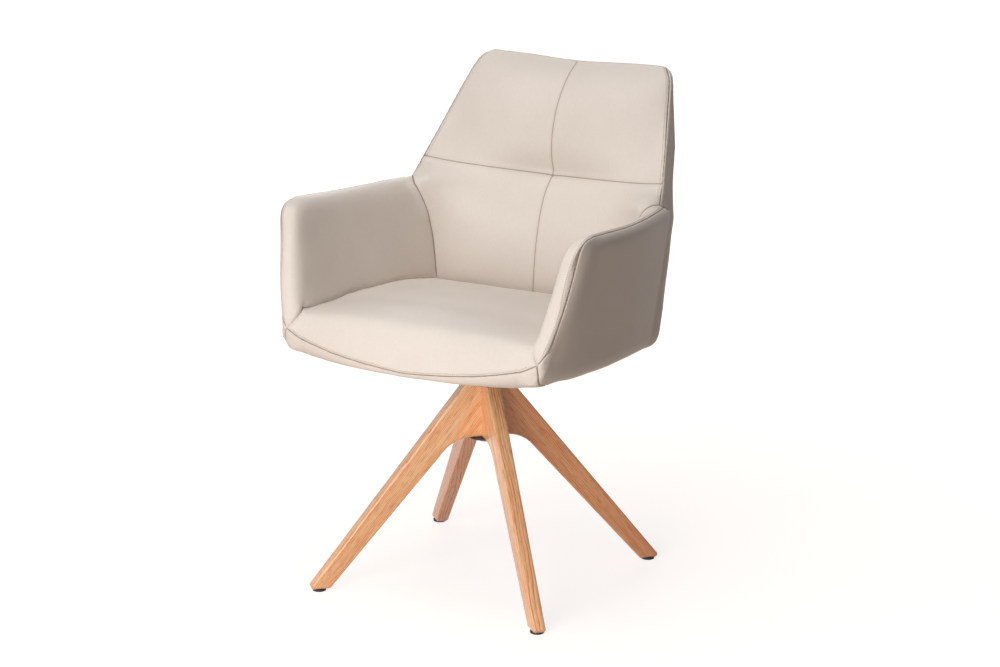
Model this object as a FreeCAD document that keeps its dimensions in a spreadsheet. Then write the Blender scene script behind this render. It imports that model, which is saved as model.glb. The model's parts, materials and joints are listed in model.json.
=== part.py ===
import FreeCAD, Part
import math
import os
import re
import Sketcher
from FreeCAD import Placement, Rotation, Vector

# Swivel armchair: an upholstered shell seat that turns on a base of four mitred oak legs.
# Millimetres, +Z up, front towards -Y. The origin is on the floor under the middle of the outer box,
# and the swivel axis stands a little in front of it.

doc = FreeCAD.newDocument("swivel_chair")
sheet = doc.addObject("Spreadsheet::Sheet", "Sheet")

# Driving dimensions: name, value, meaning
SIZES = [
    ("swivel_axis_y", -27, "swivel axis, measured from the middle of the outer box"),
    # Legs and glides
    ("hub_gap", 65, "room between the hub's flat top and the shell's lower hem, at the swivel axis"),
    ("hub_height", 97, "height of the four legs' hub, from its flat underside to its flat top"),
    ("hub_top_reach", 42, "radius where the hub's top meets a leg's outer line"),
    ("hub_bottom_reach", 61, "radius where the hub's underside would meet a leg's inner line"),
    ("hub_hollow_radius", 65, "hollow curve between the hub's underside and a leg"),
    ("foot_outer_reach", 324, "radius of a foot's outer edge"),
    ("foot_length", 38, "length of a foot, from its inner to its outer edge"),
    ("foot_height", 4, "height of a foot's cut end above the floor"),
    ("leg_hub_width", 26.5, "width of a leg across its side faces at the hub"),
    ("leg_foot_width", 23, "width of a leg across its side faces at the foot"),
    ("leg_outer_rounding", 5, "rounding of a leg's two outer edges"),
    ("leg_inner_rounding", 3.5, "rounding of a leg's two inner edges"),
    ("toe_rounding", 5, "rounding of the tip of a foot"),
    ("glide_inset", 21, "distance of a glide's centre from the foot's outer edge"),
    ("glide_radius", 12, "radius of a glide"),
    ("glide_rounding", 1.2, "rounding of a glide's lower edge"),
    ("glide_recess", 2, "depth of the recess that holds a glide's screw head"),
    ("glide_screw_radius", 1.75, "shank radius of a glide's screw"),
    ("glide_screw_length", 22, "length of a glide's screw above the glide"),
    ("glide_head_radius", 3.5, "head radius of a glide's screw"),
    ("glide_head_height", 1.5, "head height of a glide's screw"),
    # Swivel
    ("spindle_radius", 12, "radius of the spindle"),
    ("running_clearance", 0.05, "radial clearance of the spindle in its bushes"),
    ("bush_wall", 2, "wall of a bush"),
    ("bush_length", 25, "length of a bush's sleeve"),
    ("bush_flange_radius", 17, "radius of a bush's flange"),
    ("bush_flange_height", 2, "thickness of a bush's flange"),
    ("tube_wall", 2, "wall of the socket tube"),
    ("flange_radius", 38, "radius of the socket tube's top flange"),
    ("flange_height", 4, "thickness of the top flange"),
    ("flange_screw_reach", 31, "radius of the circle of the flange's screws"),
    ("lower_plate_radius", 33, "radius of the black plate under the hub"),
    ("lower_plate_height", 3, "thickness of the black plate"),
    ("lower_plate_chamfer", 0.6, "chamfer of the black plate's lower edge"),
    ("lower_screw_reach", 27, "radius of the circle of the lower plate's screws"),
    ("hub_screw_radius", 2, "shank radius of the hub's wood screws"),
    ("hub_screw_length", 26, "length of the hub's wood screws under the head"),
    ("hub_screw_head_radius", 4.2, "head radius of the hub's wood screws"),
    ("hub_screw_head_height", 2.4, "head height of the hub's wood screws"),
    ("race_inner_radius", 17.5, "inner radius of the bearing's races"),
    ("race_outer_radius", 26.5, "outer radius of the bearing's races"),
    ("race_height", 4, "thickness of a race"),
    ("race_gap", 4, "gap between the two races"),
    ("ball_radius", 3, "radius of a ball"),
    ("ball_clearance", 0.05, "clearance of the balls in their grooves and pockets"),
    ("ball_count", 12, "number of balls"),
    ("cage_height", 2, "thickness of the ball cage"),
    ("cage_width", 6.8, "width of the ball cage"),
    ("boss_radius", 26.5, "radius of the spindle's boss under the seat plate"),
    ("washer_radius", 20, "radius of the retaining washer"),
    ("washer_height", 2, "thickness of the retaining washer"),
    ("washer_gap", 0.3, "running gap between the lower bush and the washer"),
    ("clip_height", 1.5, "thickness of the retaining clip"),
    ("clip_groove_depth", 1.2, "depth of the clip's groove in the spindle"),
    ("clip_lip", 2.2, "how far the clip stands out of the spindle"),
    ("clip_opening", 40, "opening of the clip, in degrees"),
    ("spindle_end", 2.7, "length of the spindle below the clip"),
    ("spindle_chamfer", 1, "chamfer of the spindle's end"),
    # Seat plate and boards, in the seat's own tilted frame: its origin is on the swivel axis at the hem
    ("seat_base_height", 421, "height of the shell's lower hem at the swivel axis"),
    ("seat_tilt", 4.5, "backward tilt of the shell, in degrees"),
    ("cover_layer", 12, "thickness of the padded cover outside the boards"),
    ("plate_side", 150, "side of the square seat plate"),
    ("plate_height", 4, "thickness of the seat plate"),
    ("plate_corner", 12, "corner radius of the seat plate"),
    ("bolt_spacing", 120, "spacing of the four seat plate bolts"),
    ("bolt_radius", 4, "radius of a seat plate bolt"),
    ("bolt_clearance", 0.5, "radial clearance of the bolts in the plate"),
    ("bolt_head_radius", 7, "corner radius of a bolt's hexagon head"),
    ("bolt_head_height", 4, "height of a bolt's head"),
    ("bolt_end_gap", 1, "how far a bolt's end lies below the seat board's top"),
    ("tee_nut_wall", 1, "wall of a tee nut's barrel"),
    ("tee_nut_length", 9, "length of a tee nut's barrel"),
    ("tee_nut_flange_radius", 10, "radius of a tee nut's flange"),
    ("tee_nut_flange_height", 1.5, "thickness of a tee nut's flange"),
    ("seat_board_height", 15, "thickness of the plywood seat board"),
    ("seat_board_front_inset", 34, "how far the seat board ends behind the arms' front seam"),
    ("seat_board_corner", 25, "radius of the seat board's front corners"),
    ("arm_board_thickness", 12, "thickness of an arm board"),
    ("arm_board_inset", 39, "how far the arm boards' feet stand inside the line between an arm's two half widths"),
    ("arm_board_toe_in", 7, "how much closer than that line a board is at the arms' front than at their back"),
    ("arm_board_lean", 7.5, "how far the arm boards lean outward, in degrees"),
    ("arm_board_front_inset", 62, "how far an arm board's foot ends behind the arm's front seam"),
    ("arm_board_back_inset", 115, "how far an arm board ends in front of the outer back"),
    ("arm_board_top_inset", 46, "how far an arm board ends below the arm's rim seam"),
    ("arm_board_front_rake", 45, "how far the arm board's front edge rakes back to its top"),
    ("arm_board_corner", 35, "radius of an arm board's front upper corner"),
    ("board_screw_radius", 2, "shank radius of the boards' wood screws"),
    ("board_screw_length", 45, "length of the boards' wood screws"),
    ("board_screw_head_radius", 4, "head radius of the boards' wood screws"),
    ("arm_screw_spacing", 150, "spacing of the three screws of an arm board"),
    ("arm_screw_shift", 40, "how far the middle one of them is in front of the swivel axis"),
    ("back_board_thickness", 9, "thickness of the moulded back board"),
    ("back_board_top_inset", 37, "how far the back board ends below the back's top"),
    ("back_board_foot_inset", 71, "how far the back board's foot ends inside the arms' rim seams"),
    ("back_board_head_inset", 109, "how far the back board's head ends inside the arms' rim seams"),
    ("back_board_corner", 30, "sawn-off upper corners of the back board"),
    ("back_screw_spacing", 150, "spacing of the three screws of the back board"),
    ("rail_inset", 8, "how far the rear rail ends inside the back board's side edges"),
    ("rail_depth", 20, "depth of the rear rail"),
    ("rail_height", 40, "height of the rear rail"),
    ("rail_rounding", 3, "rounding of the rear rail's upper front edge"),
    # Outer form of the shell
    ("rim_height", 251, "height of the arms' rim seam above the hem"),
    ("arm_front_reach", 284, "reach of the arms' front seam at the hem, in front of the swivel axis"),
    ("arm_front_rake", 12, "rake of the arms' front edge, in degrees"),
    ("arm_corner_radius", 45, "radius of the seam at an arm's front upper corner"),
    ("arm_front_half_width", 288, "half of the width between the rim seams at the arms' front"),
    ("arm_front_flare", 0.193, "outward flare of the seam at the front, per unit of height"),
    ("arm_back_half_width", 249, "half of the width between the rim seams at the back"),
    ("arm_back_flare", 0.12, "outward flare of the seam at the back, per unit of height"),
    ("arm_bow", 12, "outward bow of an arm in plan"),
    ("arm_end_inset", 72, "how far the arms' padding ends in front of the outer back"),
    ("inner_roll", 21, "radius of the rim's inner roll"),
    ("outer_roll", 30, "radius of the rim's outer roll"),
    ("seam_angle", 35, "angle of the seam on the rim's roll, in degrees"),
    ("hem_roll", 22, "rounding of the shell's lower edges"),
    ("back_reach", 240, "reach of the outer back behind the swivel axis, below its bend"),
    ("back_bend_height", 170, "height above the hem where the back starts to bend"),
    ("back_bend_radius", 700, "radius of the outer back's bend"),
    ("back_corner", 50, "radius of the shell's rear corners in plan, near the hem"),
    ("back_corner_growth", 24, "how much the rear corners' radius grows up to the arms' height"),
    ("hem_drop", 9, "how much lower the shell's lower edge is at the rear than in front"),
    ("back_thickness", 76.5, "depth of the back from its face to the outer back, below the arms' height"),
    ("wing_inset", 91, "how far the back's rim leaves the arms in front of the outer back"),
    ("back_height", 477, "height of the back's top above the hem"),
    ("cross_seam_rise", 27, "height of the crossed seams above the arms' rim seam"),
    # Seat cushion
    ("cushion_side_inset", 50, "how far the cushion's front corners lie inside the arms' rim seams"),
    ("cushion_crown", 98, "height of the cushion's crown above the hem"),
    ("cushion_clearance", 0.5, "gap between the cushion and the back pad"),
    ("band_tuck", 14, "how far the front band is folded under the seat board"),
    ("dust_cover_thickness", 1, "thickness of the dust cover"),
    ("dust_cover_gap", 6, "gap between the dust cover and the seat plate"),
    ("dust_cover_inset", 28, "how far the dust cover ends inside the seat board's side edges"),
    ("dust_cover_rear_gap", 5, "how far the dust cover ends in front of the cushion's rear face"),
    ("staple_count", 6, "number of staples along each side of the dust cover"),
    ("staple_length", 10, "length of a staple"),
    ("staple_width", 1.2, "width of a staple's wire"),
    ("staple_height", 0.6, "thickness of a staple's wire"),
    ("staple_inset", 6, "distance of the staples from the dust cover's edges"),
]

for row, (name, value, meaning) in enumerate(SIZES, 1):
    sheet.set(f"A{row}", name)
    sheet.set(f"B{row}", str(value))
    sheet.setAlias(f"B{row}", name)
    sheet.set(f"C{row}", meaning)
doc.recompute()

NAMES = {name for name, _, _ in SIZES}


def size(name):
    return float(sheet.get(name))


def bound(formula):
    """The formula with each named size pointed at its cell."""
    return re.sub(r"[a-z_]+", lambda m: "Sheet." + m.group() if m.group() in NAMES else m.group(), formula)


def at(formula):
    """The value of a formula."""
    return float(sheet.evalExpression(bound(formula)))


# Formulas that several pieces share
TILT = "(seat_tilt * 1deg)"
HUB_TOP = "(seat_base_height - hub_gap)"
HUB_BOTTOM = "(seat_base_height - hub_gap - hub_height)"
FOOT_INNER = "(foot_outer_reach - foot_length)"
GLIDE_REACH = "(foot_outer_reach - glide_inset)"
BORE = "(spindle_radius + running_clearance)"
TUBE_BORE = "(spindle_radius + running_clearance + bush_wall)"
TUBE_OUTSIDE = "(spindle_radius + running_clearance + bush_wall + tube_wall)"
BALL_CIRCLE = "((race_inner_radius + race_outer_radius) / 2)"
RACE_BOTTOM = f"({HUB_TOP} + flange_height)"
BALL_HEIGHT = f"({RACE_BOTTOM} + race_height + race_gap / 2)"
BOSS_BOTTOM = f"({RACE_BOTTOM} + 2 * race_height + race_gap)"
LOWER_FACE = f"({HUB_BOTTOM} - lower_plate_height)"
WASHER_TOP = f"({LOWER_FACE} - bush_flange_height - washer_gap)"
CLIP_TOP = f"({WASHER_TOP} - washer_height)"
CLIP_BOTTOM = f"({CLIP_TOP} - clip_height)"
PLATE_BOTTOM = "(cover_layer - plate_height)"
BOARD_TOP = "(cover_layer + seat_board_height)"
SEAT_FRONT = "(arm_front_reach - seat_board_front_inset)"
BAND_UNDER = f"({SEAT_FRONT} - band_tuck)"
ARM_RUN = "(arm_front_reach + back_reach)"
ARM_SPREAD = "(arm_front_half_width - arm_back_half_width)"
ARM_BOARD_X = f"(arm_front_half_width - {ARM_SPREAD} * arm_front_reach / {ARM_RUN} - arm_board_inset)"
ARM_BOARD_TOE = f"(({ARM_SPREAD} - arm_board_toe_in) / {ARM_RUN})"
ARM_BOARD_FRONT = "(arm_front_reach - arm_board_front_inset)"
ARM_BOARD_BACK = "(back_reach - arm_board_back_inset)"
REAR_FACE = "(back_reach - cover_layer)"
FRONT_FACE = "(back_reach - cover_layer - back_board_thickness)"
BACK_BOARD_TOP = "(back_height - back_board_top_inset)"
BACK_BOARD_FOOT = "(arm_back_half_width - back_board_foot_inset)"
BACK_BOARD_HEAD = "(arm_back_half_width - back_board_head_inset)"
CUSHION_BACK = "(back_reach - back_thickness - cushion_clearance)"
CROSS_SEAM = "(rim_height + cross_seam_rise)"
LEG_ANGLES = {"front_left": 225, "front_right": 315, "back_left": 135, "back_right": 45}

axis_place = Placement(Vector(0, size("swivel_axis_y"), 0), Rotation())
seat_place = Placement(
    Vector(0, size("swivel_axis_y"), size("seat_base_height")),
    Rotation(Vector(-1, 0, 0), size("seat_tilt")),
)
pieces = {}


# Drawing helpers
def new_body(label):
    body = doc.addObject("PartDesign::Body", label)
    body.Label = label
    pieces[label] = body
    return body


def origin_feature(body, role):
    return next(f for f in body.Origin.OriginFeatures if f.Role == role)


def new_sketch(body, role, height="0"):
    sketch = body.newObject("Sketcher::SketchObject", body.Name + "_sketch")
    sketch.AttachmentSupport = (origin_feature(body, role), [""])
    sketch.MapMode = "FlatFace"
    sketch.setExpression("AttachmentOffset.Base.z", bound(height))
    return sketch


def bind(sketch, kind, refs, formula):
    value = float(sketch.evalExpression(bound(formula)))
    index = sketch.addConstraint(Sketcher.Constraint(kind, *refs, value))
    sketch.setExpression(f"Constraints[{index}]", bound(formula))


def polygon(sketch, corners):
    """A closed outline of straight lines whose corners are formulas."""
    first = sketch.GeometryCount
    count = len(corners)
    points = [Vector(*(float(sketch.evalExpression(bound(f))) for f in corner), 0) for corner in corners]
    for i, point in enumerate(points):
        sketch.addGeometry(Part.LineSegment(point, points[(i + 1) % count]), False)
    for i, (across, along) in enumerate(corners):
        sketch.addConstraint(Sketcher.Constraint("Coincident", first + i, 2, first + (i + 1) % count, 1))
        bind(sketch, "DistanceX", (-1, 1, first + i, 1), across)
        bind(sketch, "DistanceY", (-1, 1, first + i, 1), along)


def circle(sketch, across, along, radius):
    values = [float(sketch.evalExpression(bound(f))) for f in (across, along, radius)]
    index = sketch.addGeometry(Part.Circle(Vector(values[0], values[1], 0), Vector(0, 0, 1), values[2]), False)
    bind(sketch, "DistanceX", (-1, 1, index, 3), across)
    bind(sketch, "DistanceY", (-1, 1, index, 3), along)
    bind(sketch, "Radius", (index,), radius)


def pad(body, sketch, length, symmetric=False, reverse=False):
    feature = body.newObject("PartDesign::Pad", body.Name + "_pad")
    feature.Profile = sketch
    feature.setExpression("Length", bound(length))
    feature.SideType = "Symmetric" if symmetric else "One side"
    feature.Reversed = reverse
    sketch.Visibility = False
    doc.recompute()
    return feature


def revolve(body, sketch, angle=360):
    feature = body.newObject("PartDesign::Revolution", body.Name + "_revolution")
    feature.Profile = sketch
    feature.ReferenceAxis = (sketch, ["V_Axis"])
    feature.Angle = angle
    doc.recompute()
    return feature


def removed(body, feature):
    """Rebuild and make sure that a cut took something away."""
    doc.recompute()
    if not feature.BaseFeature.Shape.Volume - feature.Shape.Volume > 0.1:
        raise ValueError(f"{feature.Name} cuts nothing")


def pocket(body, sketch, length=None, symmetric=False, reverse=False):
    feature = body.newObject("PartDesign::Pocket", body.Name + "_pocket")
    feature.Profile = sketch
    feature.SideType = "Symmetric" if symmetric else "One side"
    feature.Reversed = reverse
    if length is None:
        feature.Type = "ThroughAll"
    else:
        feature.setExpression("Length", bound(length))
    removed(body, feature)
    return feature


def groove(body, sketch):
    feature = body.newObject("PartDesign::Groove", body.Name + "_groove")
    feature.Profile = sketch
    feature.ReferenceAxis = (sketch, ["V_Axis"])
    feature.Angle = 360
    removed(body, feature)
    return feature


def fillet(body, radius, test):
    """Round the edges of the body so far whose two ends pass the test."""
    base = body.Tip
    names = [
        f"Edge{i}" for i, edge in enumerate(base.Shape.Edges, 1)
        if len(edge.Vertexes) == 2 and test(edge.Vertexes[0].Point, edge.Vertexes[1].Point)
    ]
    if not names:
        raise ValueError(f"{body.Name} has no edge to round")
    feature = body.newObject("PartDesign::Fillet", body.Name + "_fillet")
    feature.Base = (base, names)
    feature.setExpression("Radius", bound(radius))
    doc.recompute()
    return feature


def stand(piece, turn=0):
    """Set a piece on the swivel axis, turned about it."""
    piece.Placement = axis_place.multiply(Placement(Vector(), Rotation(Vector(0, 0, 1), turn)))
    piece.setExpression("Placement.Base.y", bound("swivel_axis_y"))


def tilt(piece):
    """Set a piece in the seat's tilted frame."""
    piece.Placement = seat_place
    piece.setExpression("Placement.Base.y", bound("swivel_axis_y"))
    piece.setExpression("Placement.Base.z", bound("seat_base_height"))


def feature_of(label, shape, place):
    feature = doc.addObject("Part::Feature", label)
    feature.Label = label
    feature.Shape = shape
    feature.Placement = place
    pieces[label] = feature
    return feature


def mirror_of(label, source):
    """The left-hand twin of a right-hand piece."""
    twin = doc.addObject("Part::Mirroring", label)
    twin.Label = label
    twin.Source = source
    twin.Base = Vector(0, 0, 0)
    twin.Normal = Vector(1, 0, 0)
    pieces[label] = twin
    return twin


def ring_of_circles(sketch, reach, radius, count=4, start=45):
    for i in range(count):
        angle = start + 360 / count * i
        circle(sketch, f"{reach} * cos({angle}deg)", f"{reach} * sin({angle}deg)", radius)


# Legs: a side profile cut from thick oak, tapered and mitred in plan, with rounded long edges
def build_leg(label, angle):
    body = new_body(label)
    profile = new_sketch(body, "XZ_Plane")
    polygon(profile, [
        ("0", HUB_BOTTOM),
        ("hub_bottom_reach", HUB_BOTTOM),
        (FOOT_INNER, "foot_height"),
        ("foot_outer_reach", "foot_height"),
        ("hub_top_reach", HUB_TOP),
        ("0", HUB_TOP),
    ])
    pad(body, profile, "leg_hub_width", symmetric=True)

    def corner_at(reach, height):
        return lambda p, q: all(math.hypot(v.x - at(reach), v.z - at(height)) < 0.01 for v in (p, q))

    fillet(body, "hub_hollow_radius", corner_at("hub_bottom_reach", HUB_BOTTOM))
    fillet(body, "toe_rounding", corner_at("foot_outer_reach", "foot_height"))
    for side in ("", "-"):
        waste = new_sketch(body, "XY_Plane")
        polygon(waste, [
            ("-1", "0"),
            ("0", "0"),
            ("leg_hub_width / 2", f"{side}leg_hub_width / 2"),
            ("foot_outer_reach", f"{side}leg_foot_width / 2"),
            ("foot_outer_reach", f"{side}leg_hub_width"),
            ("-1", f"{side}leg_hub_width"),
        ])
        pocket(body, waste, reverse=True)
    hub_top = at(HUB_TOP)
    middle = (at(HUB_BOTTOM) + size("foot_height")) / 2
    outer_line = lambda z: size("hub_top_reach") + (hub_top - z) * (
        (size("foot_outer_reach") - size("hub_top_reach")) / (hub_top - size("foot_height")))
    near_outer = lambda v: abs(v.x - outer_line(v.z)) < 3
    spans = lambda p, q: min(p.z, q.z) < middle < max(p.z, q.z)
    fillet(body, "leg_outer_rounding", lambda p, q: spans(p, q) and near_outer(p) and near_outer(q))
    fillet(body, "leg_inner_rounding", lambda p, q: spans(p, q) and not near_outer(max(p, q, key=lambda v: v.z))
           and not near_outer(min(p, q, key=lambda v: v.z)) and p.x < at(FOOT_INNER) + 1)
    bore = new_sketch(body, "XY_Plane")
    circle(bore, "0", "0", TUBE_OUTSIDE)
    pocket(body, bore, reverse=True)
    pilot = new_sketch(body, "XY_Plane", "foot_height")
    circle(pilot, GLIDE_REACH, "0", "glide_screw_radius")
    pocket(body, pilot, "glide_screw_length - foot_height + glide_recess", reverse=True)
    pilot = new_sketch(body, "XY_Plane", HUB_TOP)
    circle(pilot, "flange_screw_reach", "0", "hub_screw_radius")
    pocket(body, pilot, "hub_screw_length - flange_height")
    pilot = new_sketch(body, "XY_Plane", HUB_BOTTOM)
    circle(pilot, "lower_screw_reach", "0", "hub_screw_radius")
    pocket(body, pilot, "hub_screw_length - lower_plate_height", reverse=True)
    stand(body, angle)


for corner, angle in LEG_ANGLES.items():
    build_leg("leg_" + corner, angle)


# Glides: moulded discs with a recess for the screw head
def build_glide(label, angle):
    body = new_body(label)
    disc = new_sketch(body, "XY_Plane")
    circle(disc, GLIDE_REACH, "0", "glide_radius")
    pad(body, disc, "foot_height")
    base = body.Tip
    rim = [
        f"Edge{i}" for i, edge in enumerate(base.Shape.Edges, 1)
        if edge.BoundBox.ZMax < 0.01 and edge.BoundBox.XLength > size("glide_radius")
    ]
    rounding = body.newObject("PartDesign::Fillet", label + "_fillet")
    rounding.Base = (base, rim)
    rounding.setExpression("Radius", bound("glide_rounding"))
    recess = new_sketch(body, "XY_Plane")
    circle(recess, GLIDE_REACH, "0", "glide_head_radius")
    pocket(body, recess, "glide_recess", reverse=True)
    hole = new_sketch(body, "XY_Plane")
    circle(hole, GLIDE_REACH, "0", "glide_screw_radius")
    pocket(body, hole, reverse=True)
    stand(body, angle)


for corner, angle in LEG_ANGLES.items():
    build_glide("glide_" + corner, angle)


# Screws, drawn with the underside of the head at the origin and the shank along +Z
def pan_screw(shank_radius, length, head_radius, head_height):
    start = Vector(0, 0, -head_height)
    edge = Vector(head_radius, 0, 0)
    dome = Part.Arc(start, Vector(0.75 * head_radius, 0, -0.7 * head_height), edge).toShape()
    rest = Part.makePolygon([
        edge,
        Vector(shank_radius, 0, 0),
        Vector(shank_radius, 0, length - shank_radius),
        Vector(0, 0, length),
        start,
    ])
    return Part.Face(Part.Wire([dome] + rest.Edges)).revolve(Vector(), Vector(0, 0, 1), 360)


def flush_screw(shank_radius, length, head_radius):
    """A countersunk screw whose flat head ends at the origin."""
    outline = Part.makePolygon([
        Vector(0, 0, 0),
        Vector(head_radius, 0, 0),
        Vector(shank_radius, 0, head_radius - shank_radius),
        Vector(shank_radius, 0, length - shank_radius),
        Vector(0, 0, length),
        Vector(0, 0, 0),
    ])
    return Part.Face(outline).revolve(Vector(), Vector(0, 0, 1), 360)


def placed(shape, place):
    copy = shape.copy()
    copy.Placement = place.multiply(copy.Placement)
    return copy


def around_axis(shape, reach, height, flip=False):
    """One copy of the shape on each leg, pointing up or down."""
    turn = Rotation(Vector(1, 0, 0), 180 if flip else 0)
    copies = []
    for angle in LEG_ANGLES.values():
        spin = Rotation(Vector(0, 0, 1), angle)
        spot = spin.multVec(Vector(reach, 0, height))
        copies.append(placed(shape, Placement(spot, spin.multiply(turn))))
    return Part.makeCompound(copies)


glide_screw = pan_screw(
    size("glide_screw_radius"), size("glide_screw_length"), size("glide_head_radius"), size("glide_head_height"))
hub_screw = pan_screw(
    size("hub_screw_radius"), size("hub_screw_length"),
    size("hub_screw_head_radius"), size("hub_screw_head_height"))
feature_of("glide_screws", around_axis(glide_screw, at(GLIDE_REACH), size("glide_recess")), axis_place)
feature_of(
    "flange_screws",
    around_axis(hub_screw, size("flange_screw_reach"), at(RACE_BOTTOM), flip=True),
    axis_place)
feature_of(
    "lower_plate_screws",
    around_axis(hub_screw, size("lower_screw_reach"), at(LOWER_FACE)),
    axis_place)


# Swivel: tube with a welded flange through the hub, black plate below, bushes, ball thrust bearing
def turned(label, corners, angle=360):
    body = new_body(label)
    sketch = new_sketch(body, "XZ_Plane")
    polygon(sketch, corners)
    revolve(body, sketch, angle)
    return body


tube = turned("socket_tube", [
    (TUBE_BORE, HUB_BOTTOM),
    (TUBE_OUTSIDE, HUB_BOTTOM),
    (TUBE_OUTSIDE, HUB_TOP),
    ("flange_radius", HUB_TOP),
    ("flange_radius", RACE_BOTTOM),
    (TUBE_BORE, RACE_BOTTOM),
])
holes = new_sketch(tube, "XY_Plane", HUB_TOP)
ring_of_circles(holes, "flange_screw_reach", "hub_screw_radius")
pocket(tube, holes, "flange_height", reverse=True)
stand(tube)

plate = turned("lower_plate", [
    (TUBE_BORE, LOWER_FACE),
    ("lower_plate_radius - lower_plate_chamfer", LOWER_FACE),
    ("lower_plate_radius", f"{LOWER_FACE} + lower_plate_chamfer"),
    ("lower_plate_radius", HUB_BOTTOM),
    (TUBE_BORE, HUB_BOTTOM),
])
holes = new_sketch(plate, "XY_Plane", HUB_BOTTOM)
ring_of_circles(holes, "lower_screw_reach", "hub_screw_radius")
pocket(plate, holes, "lower_plate_height")
stand(plate)

stand(turned("upper_bush", [
    (BORE, f"{RACE_BOTTOM} - bush_length"),
    (TUBE_BORE, f"{RACE_BOTTOM} - bush_length"),
    (TUBE_BORE, RACE_BOTTOM),
    ("bush_flange_radius", RACE_BOTTOM),
    ("bush_flange_radius", f"{RACE_BOTTOM} + bush_flange_height"),
    (BORE, f"{RACE_BOTTOM} + bush_flange_height"),
]))
stand(turned("lower_bush", [
    (BORE, f"{LOWER_FACE} - bush_flange_height"),
    ("bush_flange_radius", f"{LOWER_FACE} - bush_flange_height"),
    ("bush_flange_radius", LOWER_FACE),
    (TUBE_BORE, LOWER_FACE),
    (TUBE_BORE, f"{LOWER_FACE} + bush_length"),
    (BORE, f"{LOWER_FACE} + bush_length"),
]))


def build_race(label, bottom):
    body = turned(label, [
        ("race_inner_radius", bottom),
        ("race_outer_radius", bottom),
        ("race_outer_radius", f"{bottom} + race_height"),
        ("race_inner_radius", f"{bottom} + race_height"),
    ])
    track = new_sketch(body, "XZ_Plane")
    circle(track, BALL_CIRCLE, BALL_HEIGHT, "ball_radius + ball_clearance")
    groove(body, track)
    stand(body)


build_race("bearing_lower_race", RACE_BOTTOM)
build_race("bearing_upper_race", f"({RACE_BOTTOM} + race_height + race_gap)")

cage = turned("ball_cage", [
    (f"{BALL_CIRCLE} - cage_width / 2", f"{BALL_HEIGHT} - cage_height / 2"),
    (f"{BALL_CIRCLE} + cage_width / 2", f"{BALL_HEIGHT} - cage_height / 2"),
    (f"{BALL_CIRCLE} + cage_width / 2", f"{BALL_HEIGHT} + cage_height / 2"),
    (f"{BALL_CIRCLE} - cage_width / 2", f"{BALL_HEIGHT} + cage_height / 2"),
])
ball_count = int(size("ball_count"))
ball_circle = at(BALL_CIRCLE)
holes = new_sketch(cage, "XY_Plane", f"{BALL_HEIGHT} - cage_height / 2")
ring_of_circles(holes, BALL_CIRCLE, "ball_radius + ball_clearance", ball_count, 0)
pocket(cage, holes, "cage_height", reverse=True)
stand(cage)

balls = []
for i in range(ball_count):
    angle = 2 * math.pi * i / ball_count
    spot = Vector(ball_circle * math.cos(angle), ball_circle * math.sin(angle), at(BALL_HEIGHT))
    balls.append(Part.makeSphere(size("ball_radius"), spot))
feature_of("bearing_balls", Part.makeCompound(balls), axis_place)

# Spindle: a turned bar with a boss whose top is cut to the tilt of the seat plate
PLATE_LINE = "(seat_base_height + (cover_layer - plate_height) / cos(seat_tilt * 1deg))"
spindle = turned("swivel_spindle", [
    ("0", f"{CLIP_BOTTOM} - spindle_end"),
    ("spindle_radius - spindle_chamfer", f"{CLIP_BOTTOM} - spindle_end"),
    ("spindle_radius", f"{CLIP_BOTTOM} - spindle_end + spindle_chamfer"),
    ("spindle_radius", CLIP_BOTTOM),
    ("spindle_radius - clip_groove_depth", CLIP_BOTTOM),
    ("spindle_radius - clip_groove_depth", CLIP_TOP),
    ("spindle_radius", CLIP_TOP),
    ("spindle_radius", BOSS_BOTTOM),
    ("boss_radius", BOSS_BOTTOM),
    ("boss_radius", f"{PLATE_LINE} + boss_radius"),
    ("0", f"{PLATE_LINE} + boss_radius"),
])
waste = new_sketch(spindle, "YZ_Plane")
polygon(waste, [
    ("-2 * boss_radius", f"{PLATE_LINE} + 2 * boss_radius * tan{TILT}"),
    ("2 * boss_radius", f"{PLATE_LINE} - 2 * boss_radius * tan{TILT}"),
    ("2 * boss_radius", f"{PLATE_LINE} + 3 * boss_radius"),
    ("-2 * boss_radius", f"{PLATE_LINE} + 3 * boss_radius"),
])
pocket(spindle, waste, "4 * boss_radius", symmetric=True)
stand(spindle)

stand(turned("retaining_washer", [
    (BORE, f"{WASHER_TOP} - washer_height"),
    ("washer_radius", f"{WASHER_TOP} - washer_height"),
    ("washer_radius", WASHER_TOP),
    (BORE, WASHER_TOP),
]))
stand(turned("retaining_clip", [
    ("spindle_radius - clip_groove_depth", CLIP_BOTTOM),
    ("spindle_radius + clip_lip", CLIP_BOTTOM),
    ("spindle_radius + clip_lip", CLIP_TOP),
    ("spindle_radius - clip_groove_depth", CLIP_TOP),
], 360 - size("clip_opening")))

# Seat plate: square steel plate under the seat board, bolted into tee nuts
body = new_body("seat_plate")
sketch = new_sketch(body, "XY_Plane", PLATE_BOTTOM)
half = "plate_side / 2"
polygon(sketch, [("-" + half, "-" + half), (half, "-" + half), (half, half), ("-" + half, half)])
pad(body, sketch, "plate_height")
upright = lambda p, q: math.hypot(p.x - q.x, p.y - q.y) < 0.01
fillet(body, "plate_corner", upright)
BOLT_CORNERS = [(1, 1), (-1, 1), (-1, -1), (1, -1)]
holes = new_sketch(body, "XY_Plane", PLATE_BOTTOM)
for side_x, side_y in BOLT_CORNERS:
    circle(holes, f"{side_x} * bolt_spacing / 2", f"{side_y} * bolt_spacing / 2", "bolt_radius + bolt_clearance")
pocket(body, holes, "plate_height", reverse=True)
tilt(body)

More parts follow.
